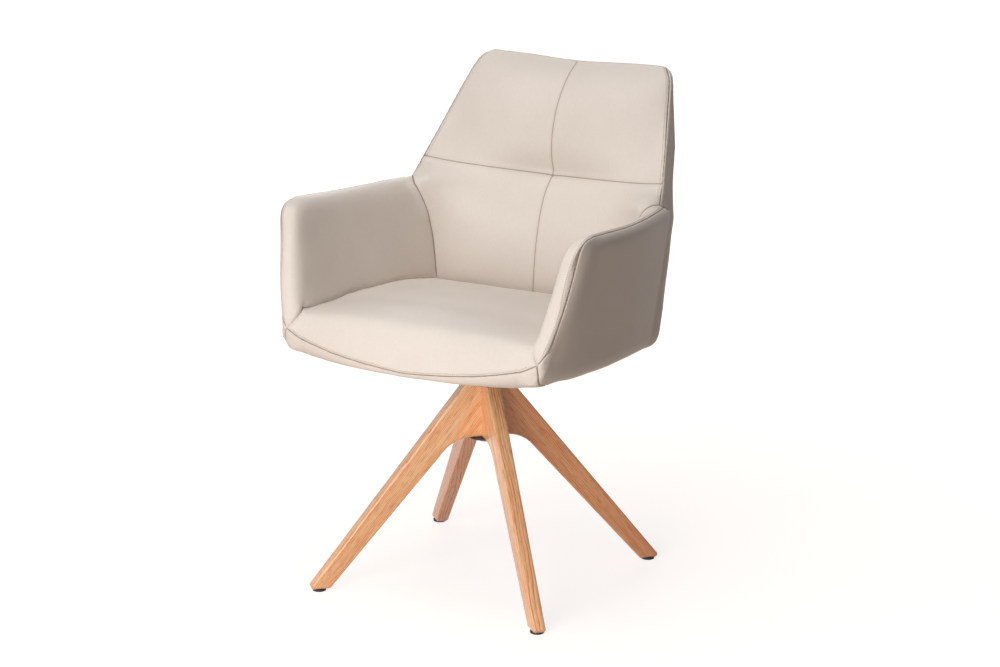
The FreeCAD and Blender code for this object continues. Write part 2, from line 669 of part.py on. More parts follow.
plate_bottom = at(PLATE_BOTTOM)
board_bottom = size("cover_layer")
board_top = at(BOARD_TOP)
head_corner = Vector(size("bolt_head_radius"), 0, -size("bolt_head_height"))
hexagon = Part.makePolygon([Rotation(Vector(0, 0, 1), 60 * i).multVec(head_corner) for i in range(7)])
bolt = Part.Face(hexagon).extrude(Vector(0, 0, size("bolt_head_height"))).fuse(
    Part.makeCylinder(size("bolt_radius"), board_top - size("bolt_end_gap") - plate_bottom))
nut_outer = size("bolt_radius") + size("tee_nut_wall")
tee_nut = Part.Face(Part.makePolygon([
    Vector(size("bolt_radius"), 0, 0),
    Vector(size("tee_nut_flange_radius"), 0, 0),
    Vector(size("tee_nut_flange_radius"), 0, -size("tee_nut_flange_height")),
    Vector(nut_outer, 0, -size("tee_nut_flange_height")),
    Vector(nut_outer, 0, -size("tee_nut_length")),
    Vector(size("bolt_radius"), 0, -size("tee_nut_length")),
    Vector(size("bolt_radius"), 0, 0),
])).revolve(Vector(), Vector(0, 0, 1), 360)
bolts = []
tee_nuts = []
for side_x, side_y in BOLT_CORNERS:
    spot = Vector(side_x * size("bolt_spacing") / 2, side_y * size("bolt_spacing") / 2, 0)
    bolts.append(placed(bolt, Placement(spot + Vector(0, 0, plate_bottom), Rotation())))
    tee_nuts.append(placed(tee_nut, Placement(spot + Vector(0, 0, board_top), Rotation())))
feature_of("seat_plate_bolts", Part.makeCompound(bolts), seat_place)
feature_of("tee_nuts", Part.makeCompound(tee_nuts), seat_place)

# Arm boards: plywood panels that lean outward and open to the front, screwed to the seat board's edges
toe = at(ARM_BOARD_TOE)
lean = math.tan(math.radians(size("arm_board_lean")))
along = Vector(-toe, 1, 0).normalize()
outward = Vector(1, toe, -lean).normalize()
upward = outward.cross(along)
board_frame = Placement(Vector(at(ARM_BOARD_X), 0, 0), Rotation(along, upward, outward, "XYZ"))
board_place = seat_place.multiply(board_frame)

board_blank = doc.addObject("PartDesign::Body", "arm_board_blank")
sketch = new_sketch(board_blank, "XY_Plane")
BOARD_FOOT = "cover_layer / cos(arm_board_lean * 1deg)"
BOARD_HEAD = "(rim_height - arm_board_top_inset) / cos(arm_board_lean * 1deg)"
polygon(sketch, [
    ("-" + ARM_BOARD_FRONT, BOARD_FOOT),
    (ARM_BOARD_BACK, BOARD_FOOT),
    (ARM_BOARD_BACK, BOARD_HEAD),
    ("arm_board_front_rake - " + ARM_BOARD_FRONT, BOARD_HEAD),
])
pad(board_blank, sketch, "arm_board_thickness", reverse=True)
head = at(BOARD_HEAD)
fillet(board_blank, "arm_board_corner", lambda p, q: all(abs(v.y - head) < 0.01 and v.x < 0 for v in (p, q)))
board_blank.Placement = board_place

board_screw = flush_screw(
    size("board_screw_radius"), size("board_screw_length"), size("board_screw_head_radius"))
screw_rise = board_bottom + 0.4 * size("seat_board_height")
into_board = Rotation(Vector(0, 0, 1), Vector(0, 0, -1))
right_screws = [
    placed(board_screw, board_frame.multiply(Placement(
        Vector((i - 1) * size("arm_screw_spacing") - size("arm_screw_shift"), screw_rise, 0), into_board)))
    for i in range(3)
]
mirrored = [shape.mirror(Vector(), Vector(1, 0, 0)) for shape in right_screws]
arm_screws = feature_of("arm_board_screws", Part.makeCompound(right_screws + mirrored), seat_place)

arm_board_right = doc.addObject("Part::Cut", "arm_board_right")
arm_board_right.Base = board_blank
arm_board_right.Tool = arm_screws
pieces["arm_board_right"] = arm_board_right
mirror_of("arm_board_left", arm_board_right)

# Back board: moulded plywood behind the rear edge of the seat board, with three screws into that edge
back_blank_board = doc.addObject("PartDesign::Body", "back_board_blank")
sketch = new_sketch(back_blank_board, "YZ_Plane")
BEND_CENTRE = "(back_reach + back_bend_radius)"
bend_z = size("back_bend_height")
board_head = at(BACK_BOARD_TOP)


def bend_arc(face):
    """An arc of the bent board from its upright part to its head, as geometry and end point."""
    centre = Vector(at(BEND_CENTRE), bend_z, 0)
    radius = centre.x - at(face)
    head = math.pi - math.asin((board_head - bend_z) / radius)
    curve = Part.ArcOfCircle(Part.Circle(centre, Vector(0, 0, 1), radius), head, math.pi)
    return curve, centre + Vector(radius * math.cos(head), radius * math.sin(head), 0)


front_arc, front_head = bend_arc(FRONT_FACE)
rear_arc, rear_head = bend_arc(REAR_FACE)
front_foot = Vector(at(FRONT_FACE), board_bottom, 0)
rear_foot = Vector(at(REAR_FACE), board_bottom, 0)
front_bend = Vector(front_foot.x, bend_z, 0)
rear_bend = Vector(rear_foot.x, bend_z, 0)
for geometry in (
    Part.LineSegment(front_foot, front_bend), front_arc, Part.LineSegment(front_head, rear_head),
    rear_arc, Part.LineSegment(rear_bend, rear_foot), Part.LineSegment(rear_foot, front_foot),
):
    sketch.addGeometry(geometry, False)
for joint in ((0, 2, 1, 2), (1, 1, 2, 1), (2, 2, 3, 1), (3, 2, 4, 1), (4, 2, 5, 1), (5, 2, 0, 1)):
    sketch.addConstraint(Sketcher.Constraint("Coincident", *joint))
for index, point, across, up in (
    (0, 1, FRONT_FACE, "cover_layer"),
    (0, 2, FRONT_FACE, "back_bend_height"),
    (4, 1, REAR_FACE, "back_bend_height"),
    (4, 2, REAR_FACE, "cover_layer"),
    (1, 3, BEND_CENTRE, "back_bend_height"),
    (3, 3, BEND_CENTRE, "back_bend_height"),
):
    bind(sketch, "DistanceX", (-1, 1, index, point), across)
    bind(sketch, "DistanceY", (-1, 1, index, point), up)
bind(sketch, "DistanceY", (-1, 1, 2, 1), BACK_BOARD_TOP)
bind(sketch, "DistanceY", (-1, 1, 2, 2), BACK_BOARD_TOP)
pad(back_blank_board, sketch, "2 * " + BACK_BOARD_FOOT, symmetric=True)
for side in ("", "-"):
    waste = new_sketch(back_blank_board, "XZ_Plane")
    polygon(waste, [
        (f"{side}{BACK_BOARD_FOOT}", "cover_layer + rail_height"),
        (f"{side}({BACK_BOARD_FOOT} + 5)", "cover_layer + rail_height"),
        (f"{side}({BACK_BOARD_FOOT} + 5)", f"{BACK_BOARD_TOP} + 5"),
        (f"{side}({BACK_BOARD_HEAD} - back_board_corner - 5)", f"{BACK_BOARD_TOP} + 5"),
        (f"{side}{BACK_BOARD_HEAD}", f"{BACK_BOARD_TOP} - back_board_corner"),
    ])
    pocket(back_blank_board, waste, "2 * back_reach + back_bend_radius", symmetric=True)
tilt(back_blank_board)

into_edge = Rotation(Vector(0, 0, 1), Vector(0, -1, 0))
back_screws = feature_of("back_board_screws", Part.makeCompound([
    placed(board_screw, Placement(
        Vector((i - 1) * size("back_screw_spacing"), rear_foot.x, screw_rise), into_edge))
    for i in range(3)
]), seat_place)
back_board = doc.addObject("Part::Cut", "back_board")
back_board.Base = back_blank_board
back_board.Tool = back_screws
pieces["back_board"] = back_board

rail = new_body("rear_rail")
sketch = new_sketch(rail, "XY_Plane", BOARD_TOP)
half = f"({BACK_BOARD_FOOT} - rail_inset)"
polygon(sketch, [
    ("-" + half, f"{FRONT_FACE} - rail_depth"),
    (half, f"{FRONT_FACE} - rail_depth"),
    (half, FRONT_FACE),
    ("-" + half, FRONT_FACE),
])
pad(rail, sketch, "rail_height")
fillet(rail, "rail_rounding", lambda p, q: all(abs(v.z - at(BOARD_TOP) - size("rail_height")) < 0.01 for v in (p, q))
       and all(v.y < front_foot.x - 1 for v in (p, q)))
tilt(rail)

# Seat board: plywood, as wide as the space between the arm boards at its lower face
BOARD_SKEW = f"sqrt(1 + {ARM_BOARD_TOE}^2 + tan(arm_board_lean * 1deg)^2)"


def board_half_width(reach):
    return (f"{ARM_BOARD_X} - ({reach}) * {ARM_BOARD_TOE}"
            f" + cover_layer * tan(arm_board_lean * 1deg) - arm_board_thickness * {BOARD_SKEW}")


seat_blank = doc.addObject("PartDesign::Body", "seat_board_blank")
sketch = new_sketch(seat_blank, "XY_Plane", "cover_layer")
front_half = board_half_width("-" + SEAT_FRONT)
back_half = board_half_width(FRONT_FACE)
polygon(sketch, [
    (f"-({front_half})", "-" + SEAT_FRONT),
    (front_half, "-" + SEAT_FRONT),
    (back_half, FRONT_FACE),
    (f"-({back_half})", FRONT_FACE),
])
pad(seat_blank, sketch, "seat_board_height")
fillet(seat_blank, "seat_board_corner", lambda p, q: upright(p, q) and p.y < 0)
holes = new_sketch(seat_blank, "XY_Plane", "cover_layer")
recesses = new_sketch(seat_blank, "XY_Plane", BOARD_TOP)
for side_x, side_y in BOLT_CORNERS:
    place_x = f"{side_x} * bolt_spacing / 2"
    place_y = f"{side_y} * bolt_spacing / 2"
    circle(holes, place_x, place_y, "bolt_radius + tee_nut_wall")
    circle(recesses, place_x, place_y, "tee_nut_flange_radius")
pocket(seat_blank, holes, "seat_board_height", reverse=True)
pocket(seat_blank, recesses, "tee_nut_flange_height")
tilt(seat_blank)
side_drilled = doc.addObject("Part::Cut", "seat_board_side_drilled")
side_drilled.Base = seat_blank
side_drilled.Tool = arm_screws
seat_board = doc.addObject("Part::Cut", "seat_board")
seat_board.Base = side_drilled
seat_board.Tool = back_screws
pieces["seat_board"] = seat_board

# Dust cover: thin black sheet under the seat board with an opening for the seat plate, held by staples
DUST_BOTTOM = "(cover_layer - dust_cover_thickness)"
DUST_FRONT = f"(1 - {BAND_UNDER})"
DUST_BACK = f"({CUSHION_BACK} - dust_cover_rear_gap)"
DUST_FRONT_HALF = f"({board_half_width(DUST_FRONT)} - dust_cover_inset)"
DUST_BACK_HALF = f"({board_half_width(DUST_BACK)} - dust_cover_inset)"
dust = new_body("dust_cover")
sketch = new_sketch(dust, "XY_Plane", DUST_BOTTOM)
polygon(sketch, [
    ("-" + DUST_FRONT_HALF, DUST_FRONT),
    (DUST_FRONT_HALF, DUST_FRONT),
    (DUST_BACK_HALF, DUST_BACK),
    ("-" + DUST_BACK_HALF, DUST_BACK),
])
pad(dust, sketch, "dust_cover_thickness")
opening = new_sketch(dust, "XY_Plane", DUST_BOTTOM)
half = "(plate_side / 2 + dust_cover_gap)"
polygon(opening, [("-" + half, "-" + half), (half, "-" + half), (half, half), ("-" + half, half)])
pocket(dust, opening, "dust_cover_thickness", reverse=True)
fillet(dust, "plate_corner", lambda p, q: upright(p, q) and abs(p.x) < at(half) + 0.1)
tilt(dust)


def staple_row(start, end):
    """Staples along one edge of the dust cover, each lying along that edge."""
    heading = math.degrees(math.atan2(end.y - start.y, end.x - start.x))
    crown = Part.makeBox(size("staple_length"), size("staple_width"), size("staple_height"), Vector(
        -size("staple_length") / 2, -size("staple_width") / 2, 0))
    number = int(size("staple_count"))
    return [
        placed(crown, Placement(start + (end - start) * ((i + 0.5) / number), Rotation(Vector(0, 0, 1), heading)))
        for i in range(number)
    ]


staple_z = at(DUST_BOTTOM) - size("staple_height")
row_front = at(f"{DUST_FRONT} + staple_inset")
row_back = at(f"{DUST_BACK} - staple_inset")
row_front_half = at(f"{DUST_FRONT_HALF} - staple_inset")
row_back_half = at(f"{DUST_BACK_HALF} - staple_inset")
rows = [
    Vector(-row_front_half, row_front, staple_z),
    Vector(row_front_half, row_front, staple_z),
    Vector(row_back_half, row_back, staple_z),
    Vector(-row_back_half, row_back, staple_z),
]
staples = [staple for i in range(4) for staple in staple_row(rows[i], rows[(i + 1) % 4])]
feature_of("dust_cover_staples", Part.makeCompound(staples), seat_place)
doc.recompute()


# Outer form of the shell, in the seat's tilted frame
def line(p, q):
    return Part.makeLine(p, q)


def arc(p, q, r):
    return Part.Arc(p, q, r).toShape()


def loft(wires):
    return Part.makeLoft(wires, True, True)


def slope(before, here, after, column):
    """The gentle slope of a smooth curve through three stations, flat at a crest or dip."""
    if before is here or after is here:
        before, after = (here, after) if before is here else (before, here)
        return (after[column] - before[column]) / (after[0] - before[0])
    left = (here[column] - before[column]) / (here[0] - before[0])
    right = (after[column] - here[column]) / (after[0] - here[0])
    return 2 * left * right / (left + right) if left * right > 0 else 0


def between(stations, place):
    """Values on smooth curves through the stations of a list, each station being a place and its values."""
    index = 0
    while index < len(stations) - 2 and place > stations[index + 1][0]:
        index += 1
    low, high = stations[index], stations[index + 1]
    before = stations[max(index - 1, 0)]
    after = stations[min(index + 2, len(stations) - 1)]
    run = high[0] - low[0]
    t = (place - low[0]) / run
    values = []
    for column in range(1, len(low)):
        start_slope = slope(before, low, high, column) * run
        end_slope = slope(low, high, after, column) * run
        values.append(
            (2 * t ** 3 - 3 * t ** 2 + 1) * low[column] + (t ** 3 - 2 * t ** 2 + t) * start_slope
            + (3 * t ** 2 - 2 * t ** 3) * high[column] + (t ** 3 - t ** 2) * end_slope)
    return values


def both_sides(shape):
    return [shape, shape.mirror(Vector(), Vector(1, 0, 0))]


# A reach that is larger than the whole shell, for the tools that trim it
FAR = size("arm_front_reach") + size("back_reach")


def slab(bottom, top, front=-FAR, rear=FAR):
    """A wide box between two heights."""
    return Part.makeBox(2 * FAR, rear - front, top - bottom, Vector(-FAR, front, bottom))


def back_face_y(z):
    """The outer back in side view: upright, then bending to the rear on a large radius."""
    rise = z - size("back_bend_height")
    if rise <= 0:
        return size("back_reach")
    radius = size("back_bend_radius")
    return size("back_reach") + radius - math.sqrt(radius ** 2 - rise ** 2)


def hem_inset(z):
    radius = size("hem_roll")
    return radius - math.sqrt(radius ** 2 - (radius - z) ** 2) if z < radius else 0


def sloped(point, level):
    """The point lowered towards the rear, as the shell's lower edge is; the slope fades out above it."""
    share = max(0, 1 - level / 60)
    run = (point.y + size("arm_front_reach")) / (size("arm_front_reach") + size("back_reach"))
    return Vector(point.x, point.y, point.z - size("hem_drop") * share * run)


seam_sine = math.sin(math.radians(size("seam_angle")))
seam_cosine = math.cos(math.radians(size("seam_angle")))
INNER = size("inner_roll")
OUTER = size("outer_roll")
RIM = size("rim_height")
CROSS = at(CROSS_SEAM)
TOP = size("back_height")
BACK = size("back_reach")
ARM_END = BACK - size("arm_end_inset")
WING_START = BACK - size("wing_inset")
BACK_HALF = size("arm_back_half_width")
inner_depth = INNER * (1 + seam_sine)
outer_depth = OUTER * (1 - seam_sine)
inner_centre = RIM - INNER * seam_cosine
outer_centre = RIM - OUTER * seam_cosine


def seam_front_x(z):
    return size("arm_front_half_width") - size("arm_front_flare") * (RIM - z)


def seam_back_x(z):
    return size("arm_back_half_width") - size("arm_back_flare") * (RIM - z)


def seam_front_y(z):
    """The rim seam's line down the front of an arm, with its rounded upper corner."""
    rake = math.radians(size("arm_front_rake"))
    radius = size("arm_corner_radius")
    centre_z = RIM - radius
    centre_y = -size("arm_front_reach") + math.tan(rake) * centre_z + radius / math.cos(rake)
    if z <= centre_z + radius * math.sin(rake):
        return -size("arm_front_reach") + math.tan(rake) * z
    return centre_y - math.sqrt(max(radius ** 2 - (z - centre_z) ** 2, 0))


def arm_section(z, outer_only=False):
    """A level section of the right arm: rolled nose in front, bowed sides, flat rear end."""
    inset_in = INNER - math.sqrt(INNER ** 2 - (z - inner_centre) ** 2) if z > inner_centre else 0
    inset_out = hem_inset(z)
    if z > RIM:
        inset_out = outer_depth + INNER * seam_sine - math.sqrt(INNER ** 2 - (z - inner_centre) ** 2)
    elif z > outer_centre:
        inset_out = OUTER - math.sqrt(OUTER ** 2 - (z - outer_centre) ** 2)
    full = inner_depth + outer_depth
    scale = (full - inset_in - inset_out) / full
    front = seam_front_y(min(z, RIM)) + hem_inset(z)
    rear = ARM_END
    x_front, x_back = seam_front_x(z), seam_back_x(z)
    seam = Vector(x_front - inner_depth + inset_in + inner_depth * scale, front, z)

    def roll(radius, angle, side):
        turn = math.radians(angle)
        centre = seam + Vector(-seam_sine, seam_cosine, 0) * (radius * scale)
        return centre + Vector(side * math.sin(turn), -math.cos(turn), 0) * (radius * scale)

    def side_arc(start, shift):
        middle = Vector((x_front + x_back) / 2 + size("arm_bow") + shift, (start.y + rear) / 2, z)
        return start, middle, Vector(x_back + shift, rear, z)

    seam_degrees = size("seam_angle")
    inner_start = roll(INNER, 90, -1)
    inner_mid = roll(INNER, (90 - seam_degrees) / 2, -1)
    outer_start = roll(OUTER, 90, 1)
    outer_mid = roll(OUTER, (90 + seam_degrees) / 2, 1)
    outside = [sloped(point, z) for point in side_arc(outer_start, outer_depth - inset_out)]
    inside = [sloped(point, z) for point in side_arc(inner_start, inset_in - inner_depth)]
    inner_mid, seam, outer_mid = (sloped(point, z) for point in (inner_mid, seam, outer_mid))
    return Part.Wire([
        arc(*outside),
        line(outside[2], inside[2]),
        arc(inside[2], inside[1], inside[0]),
        arc(inside[0], inner_mid, seam),
        arc(seam, outer_mid, outside[0]),
    ])


def beyond_seam(z):
    """A level section of everything outside an arm's seam."""
    rear = ARM_END + 5
    far = size("arm_front_half_width") + 100
    front = -size("arm_front_reach") - 60
    x_front, x_back = seam_front_x(z), seam_back_x(z)
    start = Vector(x_front, front, z)
    bend = Vector(x_front, seam_front_y(min(z, RIM)), z)
    middle = Vector((x_front + x_back) / 2 + size("arm_bow"), (bend.y + rear) / 2, z)
    end = Vector(x_back, rear, z)
    return Part.Wire([
        line(start, bend),
        arc(bend, middle, end),
        line(end, Vector(far, rear, z)),
        line(Vector(far, rear, z), Vector(far, front, z)),
        line(Vector(far, front, z), start),
    ])


roll_top = inner_centre + INNER * math.cos(math.radians(15))
arm_levels = [0, 1.5, 5, 11, size("hem_roll"), 60, RIM - 121, RIM - 51, RIM - 40, RIM - 29, RIM - 19, RIM - 11,
              RIM - 5, RIM, roll_top]
arm_blank = loft([arm_section(z) for z in arm_levels])
seam_levels = [-15, RIM - 121, RIM - 51, RIM - 39, RIM - 28, RIM - 19, RIM - 12, RIM - 6, RIM - 2, RIM + 20]
outside_arm = loft([beyond_seam(z) for z in seam_levels])

def upper(share):
    """A height between the crossed seams and the back's top."""
    return CROSS + share * (TOP - CROSS)


# Front face of the back. Height, then the back's depth there as shares of its full depth:
# at the middle seam, at the fullest line of a field and at the field's outer edge
LOWER_FRONT = [
    (0, 1, 0.987, 1),
    (0.32 * RIM, 1, 0.987, 1),
    (0.5 * RIM, 0.993, 1.046, 1.013),
    (0.66 * RIM, 0.928, 1.033, 1.059),
    (RIM - 40, 0.813, 0.957, 1.284),
    (RIM - 11, 0.712, 0.817, 1.562),
    (RIM + 3, 0.602, 0.733, 1.7),
    (RIM + 16, 0.468, 0.637, 1.33),
    (CROSS, 0.311, 0.541, 0.999),
]
# The same above the crossed seams, and how far the field's edge lies inside the arms' rim seams
UPPER_FRONT = [
    (CROSS, 0.311, 0.541, 0.999, 37),
    (upper(0.1), 0.481, 0.651, 0.86, 41),
    (upper(0.186), 0.586, 0.709, 0.748, 45),
    (upper(0.327), 0.659, 0.767, 0.624, 50),
    (upper(0.568), 0.697, 0.782, 0.573, 59),
    (upper(0.769), 0.59, 0.647, 0.503, 69),
    (upper(0.905), 0.413, 0.444, 0.379, 77),
    (upper(0.965), 0.242, 0.255, 0.242, 84),
    (TOP, 0.169, 0.182, 0.182, 93),
]
# Rear corner of the shell. Height, then how far its start lies inside the arms' rim seams and in front of
# the outer back, and how far its end lies inside the rim seams
REAR_CORNER = [
    (0.9 * RIM, -9.8, 74, 65),
    (CROSS, 5, 55.4, 59),
    (upper(0.327), 21, 21.7, 54),
    (upper(0.643), 40, 15, 67),
    (upper(0.809), 49, 11.7, 71),
    (upper(0.905), 55, 11, 77),
    (upper(0.965), 64, 8.5, 83),
    (TOP, 78, 6.9, 91),
]
# Rim of the back near its top. Height, then how far it lies inside the arms' rim seams and in front of
# the outer back; below that the rim is straight down to the arms
RIM_HEAD = [
    (upper(0.814), 48.5, 24.2),
    (upper(0.905), 55, 20),
    (upper(0.965), 65, 17.5),
    (TOP, 81, 12.9),
]


def rim_point(z):
    if z <= RIM:
        inset = OUTER - math.sqrt(OUTER ** 2 - (z - outer_centre) ** 2) if z > outer_centre else 0
        return Vector(seam_back_x(z) + outer_depth - inset - hem_inset(z), WING_START, z)
    head_z, head_in, head_depth = RIM_HEAD[0]
    if z <= head_z:
        share = (z - RIM) / (head_z - RIM)
        return Vector(
            BACK_HALF - head_in * share, WING_START + (back_face_y(head_z) - head_depth - WING_START) * share, z)
    inside, depth = between(RIM_HEAD, z)
    return Vector(BACK_HALF - inside, back_face_y(z) - depth, z)


def rear_corner(z):
    """Start, middle and end of the rounded rear corner."""
    if z <= 0.9 * RIM:
        inset = hem_inset(z)
        corner = size("back_corner") + size("back_corner_growth") * max(0, z - 60) / (0.9 * RIM - 60)
        start_x = seam_back_x(z) + outer_depth - inset
        start_y = back_face_y(z) - corner
        end_x = start_x - corner + inset
    else:
        start_in, depth, end_in = between(REAR_CORNER, z)
        start_x, start_y, end_x = BACK_HALF - start_in, back_face_y(z) - depth, BACK_HALF - end_in
    end_y = back_face_y(z) - hem_inset(z) - max(0, z - TOP + 13) * 0.25
    middle = Vector(end_x + 0.7071 * (start_x - end_x), start_y + 0.7071 * (end_y - start_y), z)
    return Vector(start_x, start_y, z), middle, Vector(end_x, end_y, z)


def flip(point):
    return Vector(-point.x, point.y, point.z)


def back_section(z, above_cross):
    """A level section of the back: two full fields in front, wings at the sides, a rounded rear."""
    if above_cross:
        *shares, edge_in = between(UPPER_FRONT, z)
        edge_x = BACK_HALF - edge_in
    else:
        shares = between(LOWER_FRONT, z)
        edge_x = seam_back_x(min(z, RIM)) - inner_depth - max(0, z - RIM) * 0.15
    seam_y, field_y, edge_y = (back_face_y(z) - share * size("back_thickness") for share in shares)
    centre = Vector(0, seam_y, z)
    field = Vector(edge_x / 2, field_y, z)
    edge = Vector(edge_x, edge_y, z)
    rim = rim_point(z)
    start, middle, end = rear_corner(z)
    centre, field, edge, rim, start, middle, end = (
        sloped(point, z) for point in (centre, field, edge, rim, start, middle, end))
    return Part.Wire([
        arc(centre, field, edge),
        line(edge, rim),
        line(rim, start),
        arc(start, middle, end),
        line(end, flip(end)),
        arc(flip(end), flip(middle), flip(start)),
        line(flip(start), flip(rim)),
        line(flip(rim), flip(edge)),
        arc(flip(edge), flip(field), centre),
    ])


def behind_seam(z):
    """A level section of everything behind the seam between the back's pad and its cover."""
    low = min(max(z, 0), TOP)
    layer = size("cover_layer") * (1 - 0.65 * max(0, (low - TOP + 46) / 46))
    start, middle, end = rear_corner(max(low, size("hem_roll")))
    rim = rim_point(max(low, size("hem_roll")))
    if low <= RIM:
        rim.x = seam_back_x(low)
        start.x = rim.x
    rim += Vector(-1.5, -3, 0)
    start.x -= 1.5 if low <= RIM else layer * 0.8
    start.y -= 0.15 * layer
    end.y -= layer
    end.x -= 0.3 * layer
    middle = Vector(end.x + 0.7071 * (start.x - end.x), start.y + 0.7071 * (end.y - start.y), z)
    for point in (rim, start, end):
        point.z = z
    side = Vector(FAR, rim.y, z)
    rear = Vector(FAR, FAR, z)
    return Part.Wire([
        line(side, rim),
        line(rim, start),
        arc(start, middle, end),
        line(end, flip(end)),
        arc(flip(end), flip(middle), flip(start)),
        line(flip(start), flip(rim)),
        line(flip(rim), flip(side)),
        line(flip(side), flip(rear)),
        line(flip(rear), rear),
        line(rear, side),
    ])


lower_levels = [0, 1.5, 5, 11, size("hem_roll"), 60, 0.44 * RIM, 0.6 * RIM, 0.76 * RIM, 0.9 * RIM, RIM - 11,
                RIM - 3, RIM + 6, RIM + 16, CROSS]
upper_levels = [upper(share) for share in (0, 0.04, 0.1, 0.2, 0.337, 0.538, 0.714, 0.839, 0.915, 0.965, 1)]
lower_back = loft([back_section(z, False) for z in lower_levels])
upper_back = loft([back_section(z, True) for z in upper_levels])
back_blank = lower_back.fuse(upper_back)
behind_levels = [-15, 60, 0.68 * RIM, 0.9 * RIM, RIM, CROSS]
behind_levels += [upper(share) for share in (0.16, 0.337, 0.613, 0.789, 0.905, 0.965)] + [TOP + 10]
behind_back = loft([behind_seam(z) for z in behind_levels])

# Cushion and front band, drawn as side sections across the seat
FRONT = size("arm_front_reach")
CROWN = size("cushion_crown")
CUSHION_HALF = size("arm_front_half_width") - size("cushion_side_inset")
# Half width, then how far the top lies below the crown at the rear, in the middle and in front,
# the middle of the front roll and the front seam, each as its place behind the arms' front and its height
CUSHION = [
    (0, 25.5, 0, 5, 22, 62, -7, -4),
    (0.46 * CUSHION_HALF, 20.5, 2, 7, 24, 63, -2, 6),
    (0.8 * CUSHION_HALF, 19.5, 9, 13, 26, 64, 3, 21),
    (CUSHION_HALF, 23, 17.5, 21, 27, 66, 8, 41),
]
# Half width, then the band's middle and its lower edge, each as its place behind the arms' front and its height
BAND = [
    (0, -6, -8.5, 3, -10),
    (0.46 * CUSHION_HALF, 1, -4, 11, -9),
    (0.8 * CUSHION_HALF, 10, 4, 25, -5),
    (CUSHION_HALF, 16, 14, 38, 0),
]
seat_front = at(SEAT_FRONT)
band_under = at(BAND_UNDER)
stations = [i / 6 * CUSHION_HALF for i in range(-6, 7)]


# Where the cushion's flat top turns into its front roll
ROLL_START = -0.53 * FRONT


def cushion_section(x):
    rear_drop, middle_drop, front_drop, roll_in, roll_z, seam_in, seam_z = between(CUSHION, abs(x))
    rear = at(CUSHION_BACK)
    points = [Vector(x, y, z) for y, z in (
        (rear, board_top), (rear, CROWN - rear_drop), (0, CROWN - middle_drop), (ROLL_START, CROWN - front_drop),
        (roll_in - FRONT, roll_z), (seam_in - FRONT, seam_z), (-seat_front - 3, seam_z), (-seat_front, board_top),
    )]
    return Part.Wire([
        line(points[0], points[1]),
        arc(points[1], points[2], points[3]),
        arc(points[3], points[4], points[5]),
        line(points[5], points[6]),
        line(points[6], points[7]),
        line(points[7], points[0]),
    ])


def band_section(x):
    seam_in, seam_z = between(CUSHION, abs(x))[5:]
    middle_in, middle_z, low_in, low_z = between(BAND, abs(x))
    points = [Vector(x, y, z) for y, z in (
        (seam_in - FRONT, seam_z), (middle_in - FRONT, middle_z), (low_in - FRONT, low_z), (-band_under, -1),
        (-band_under, board_bottom), (-seat_front, board_bottom), (-seat_front - 3, seam_z),
    )]
    return Part.Wire([
        arc(*points[:3]),
        line(points[2], points[3]),
        line(points[3], points[4]),
        line(points[4], points[5]),
        line(points[5], points[6]),
        line(points[6], points[0]),
    ])


def front_section(x):
    """The cushion's front roll and the band together, for the arms to be trimmed against."""
    front_drop, roll_in, roll_z, seam_in, seam_z = between(CUSHION, abs(x))[2:]
    middle_in, middle_z, low_in, low_z = between(BAND, abs(x))
    points = [Vector(x, y, z) for y, z in (
        (ROLL_START, CROWN - front_drop), (roll_in - FRONT, roll_z), (seam_in - FRONT, seam_z),
        (middle_in - FRONT, middle_z), (low_in - FRONT, low_z), (-band_under, -1), (ROLL_START, -1),
    )]
    return Part.Wire([
        arc(*points[:3]),
        arc(*points[2:5]),
        line(points[4], points[5]),
        line(points[5], points[6]),
        line(points[6], points[0]),
    ])


cushion_blank = loft([cushion_section(x) for x in stations])
band_blank = loft([band_section(x) for x in stations])
# The front corners belong to the cushion and band, the rest to the arms
corner_y = 1 - band_under
front_form = loft([front_section(x) for x in stations]).common(slab(-50, RIM, -FAR, corner_y))
arm_rear = arm_blank.common(slab(-50, RIM + 50, corner_y))
outer_side = outside_arm.common(slab(-50, RIM + 50, corner_y))
cushion = cushion_blank.cut(both_sides(arm_rear) + both_sides(outer_side))
arm_form = arm_blank.cut([back_blank, front_form])
above_fold = slab(board_bottom, 2 * TOP)
above_board = slab(board_top, 2 * TOP)
local_board = placed(board_blank.Shape, seat_place.inverse())
local_back_board = placed(back_blank_board.Shape, seat_place.inverse())
local_rail = placed(rail.Shape, seat_place.inverse())
arm_cover = arm_form.cut(above_fold.cut(outside_arm))
arm_pad = arm_form.common(above_board.cut(outside_arm)).cut(local_board)
back_cover = back_blank.cut(above_fold.cut(behind_back))
back_pad = back_blank.common(above_board.cut(behind_back)).cut([local_back_board, local_rail])
for label, shape in (
    ("seat_cushion", cushion), ("front_band", band_blank), ("back_pad", back_pad), ("back_cover", back_cover),
    ("arm_pad_right", arm_pad), ("arm_cover_right", arm_cover),
):
    feature_of(label, shape, seat_place)
for label, shape in (("arm_pad_left", arm_pad), ("arm_cover_left", arm_cover)):
    feature_of(label, shape.mirror(Vector(), Vector(1, 0, 0)), seat_place)
doc.recompute()

problems = [obj.Name for obj in doc.Objects if {"Invalid", "Error"} & set(obj.State)]
if problems:
    raise ValueError(f"failed objects: {problems}")
os.makedirs("parts", exist_ok=True)
for label, piece in pieces.items():
    if piece.Shape.isNull() or not piece.Shape.isValid() or not piece.Shape.Solids:
        raise ValueError(f"{label} has no valid solid")
    piece.Shape.exportStep(f"parts/{label}.step")
print(len(pieces), "sub-parts")
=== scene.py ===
import bmesh
import bpy
import json
import math
import numpy as np
from mathutils import Matrix, Vector, noise
from mathutils.bvhtree import BVHTree


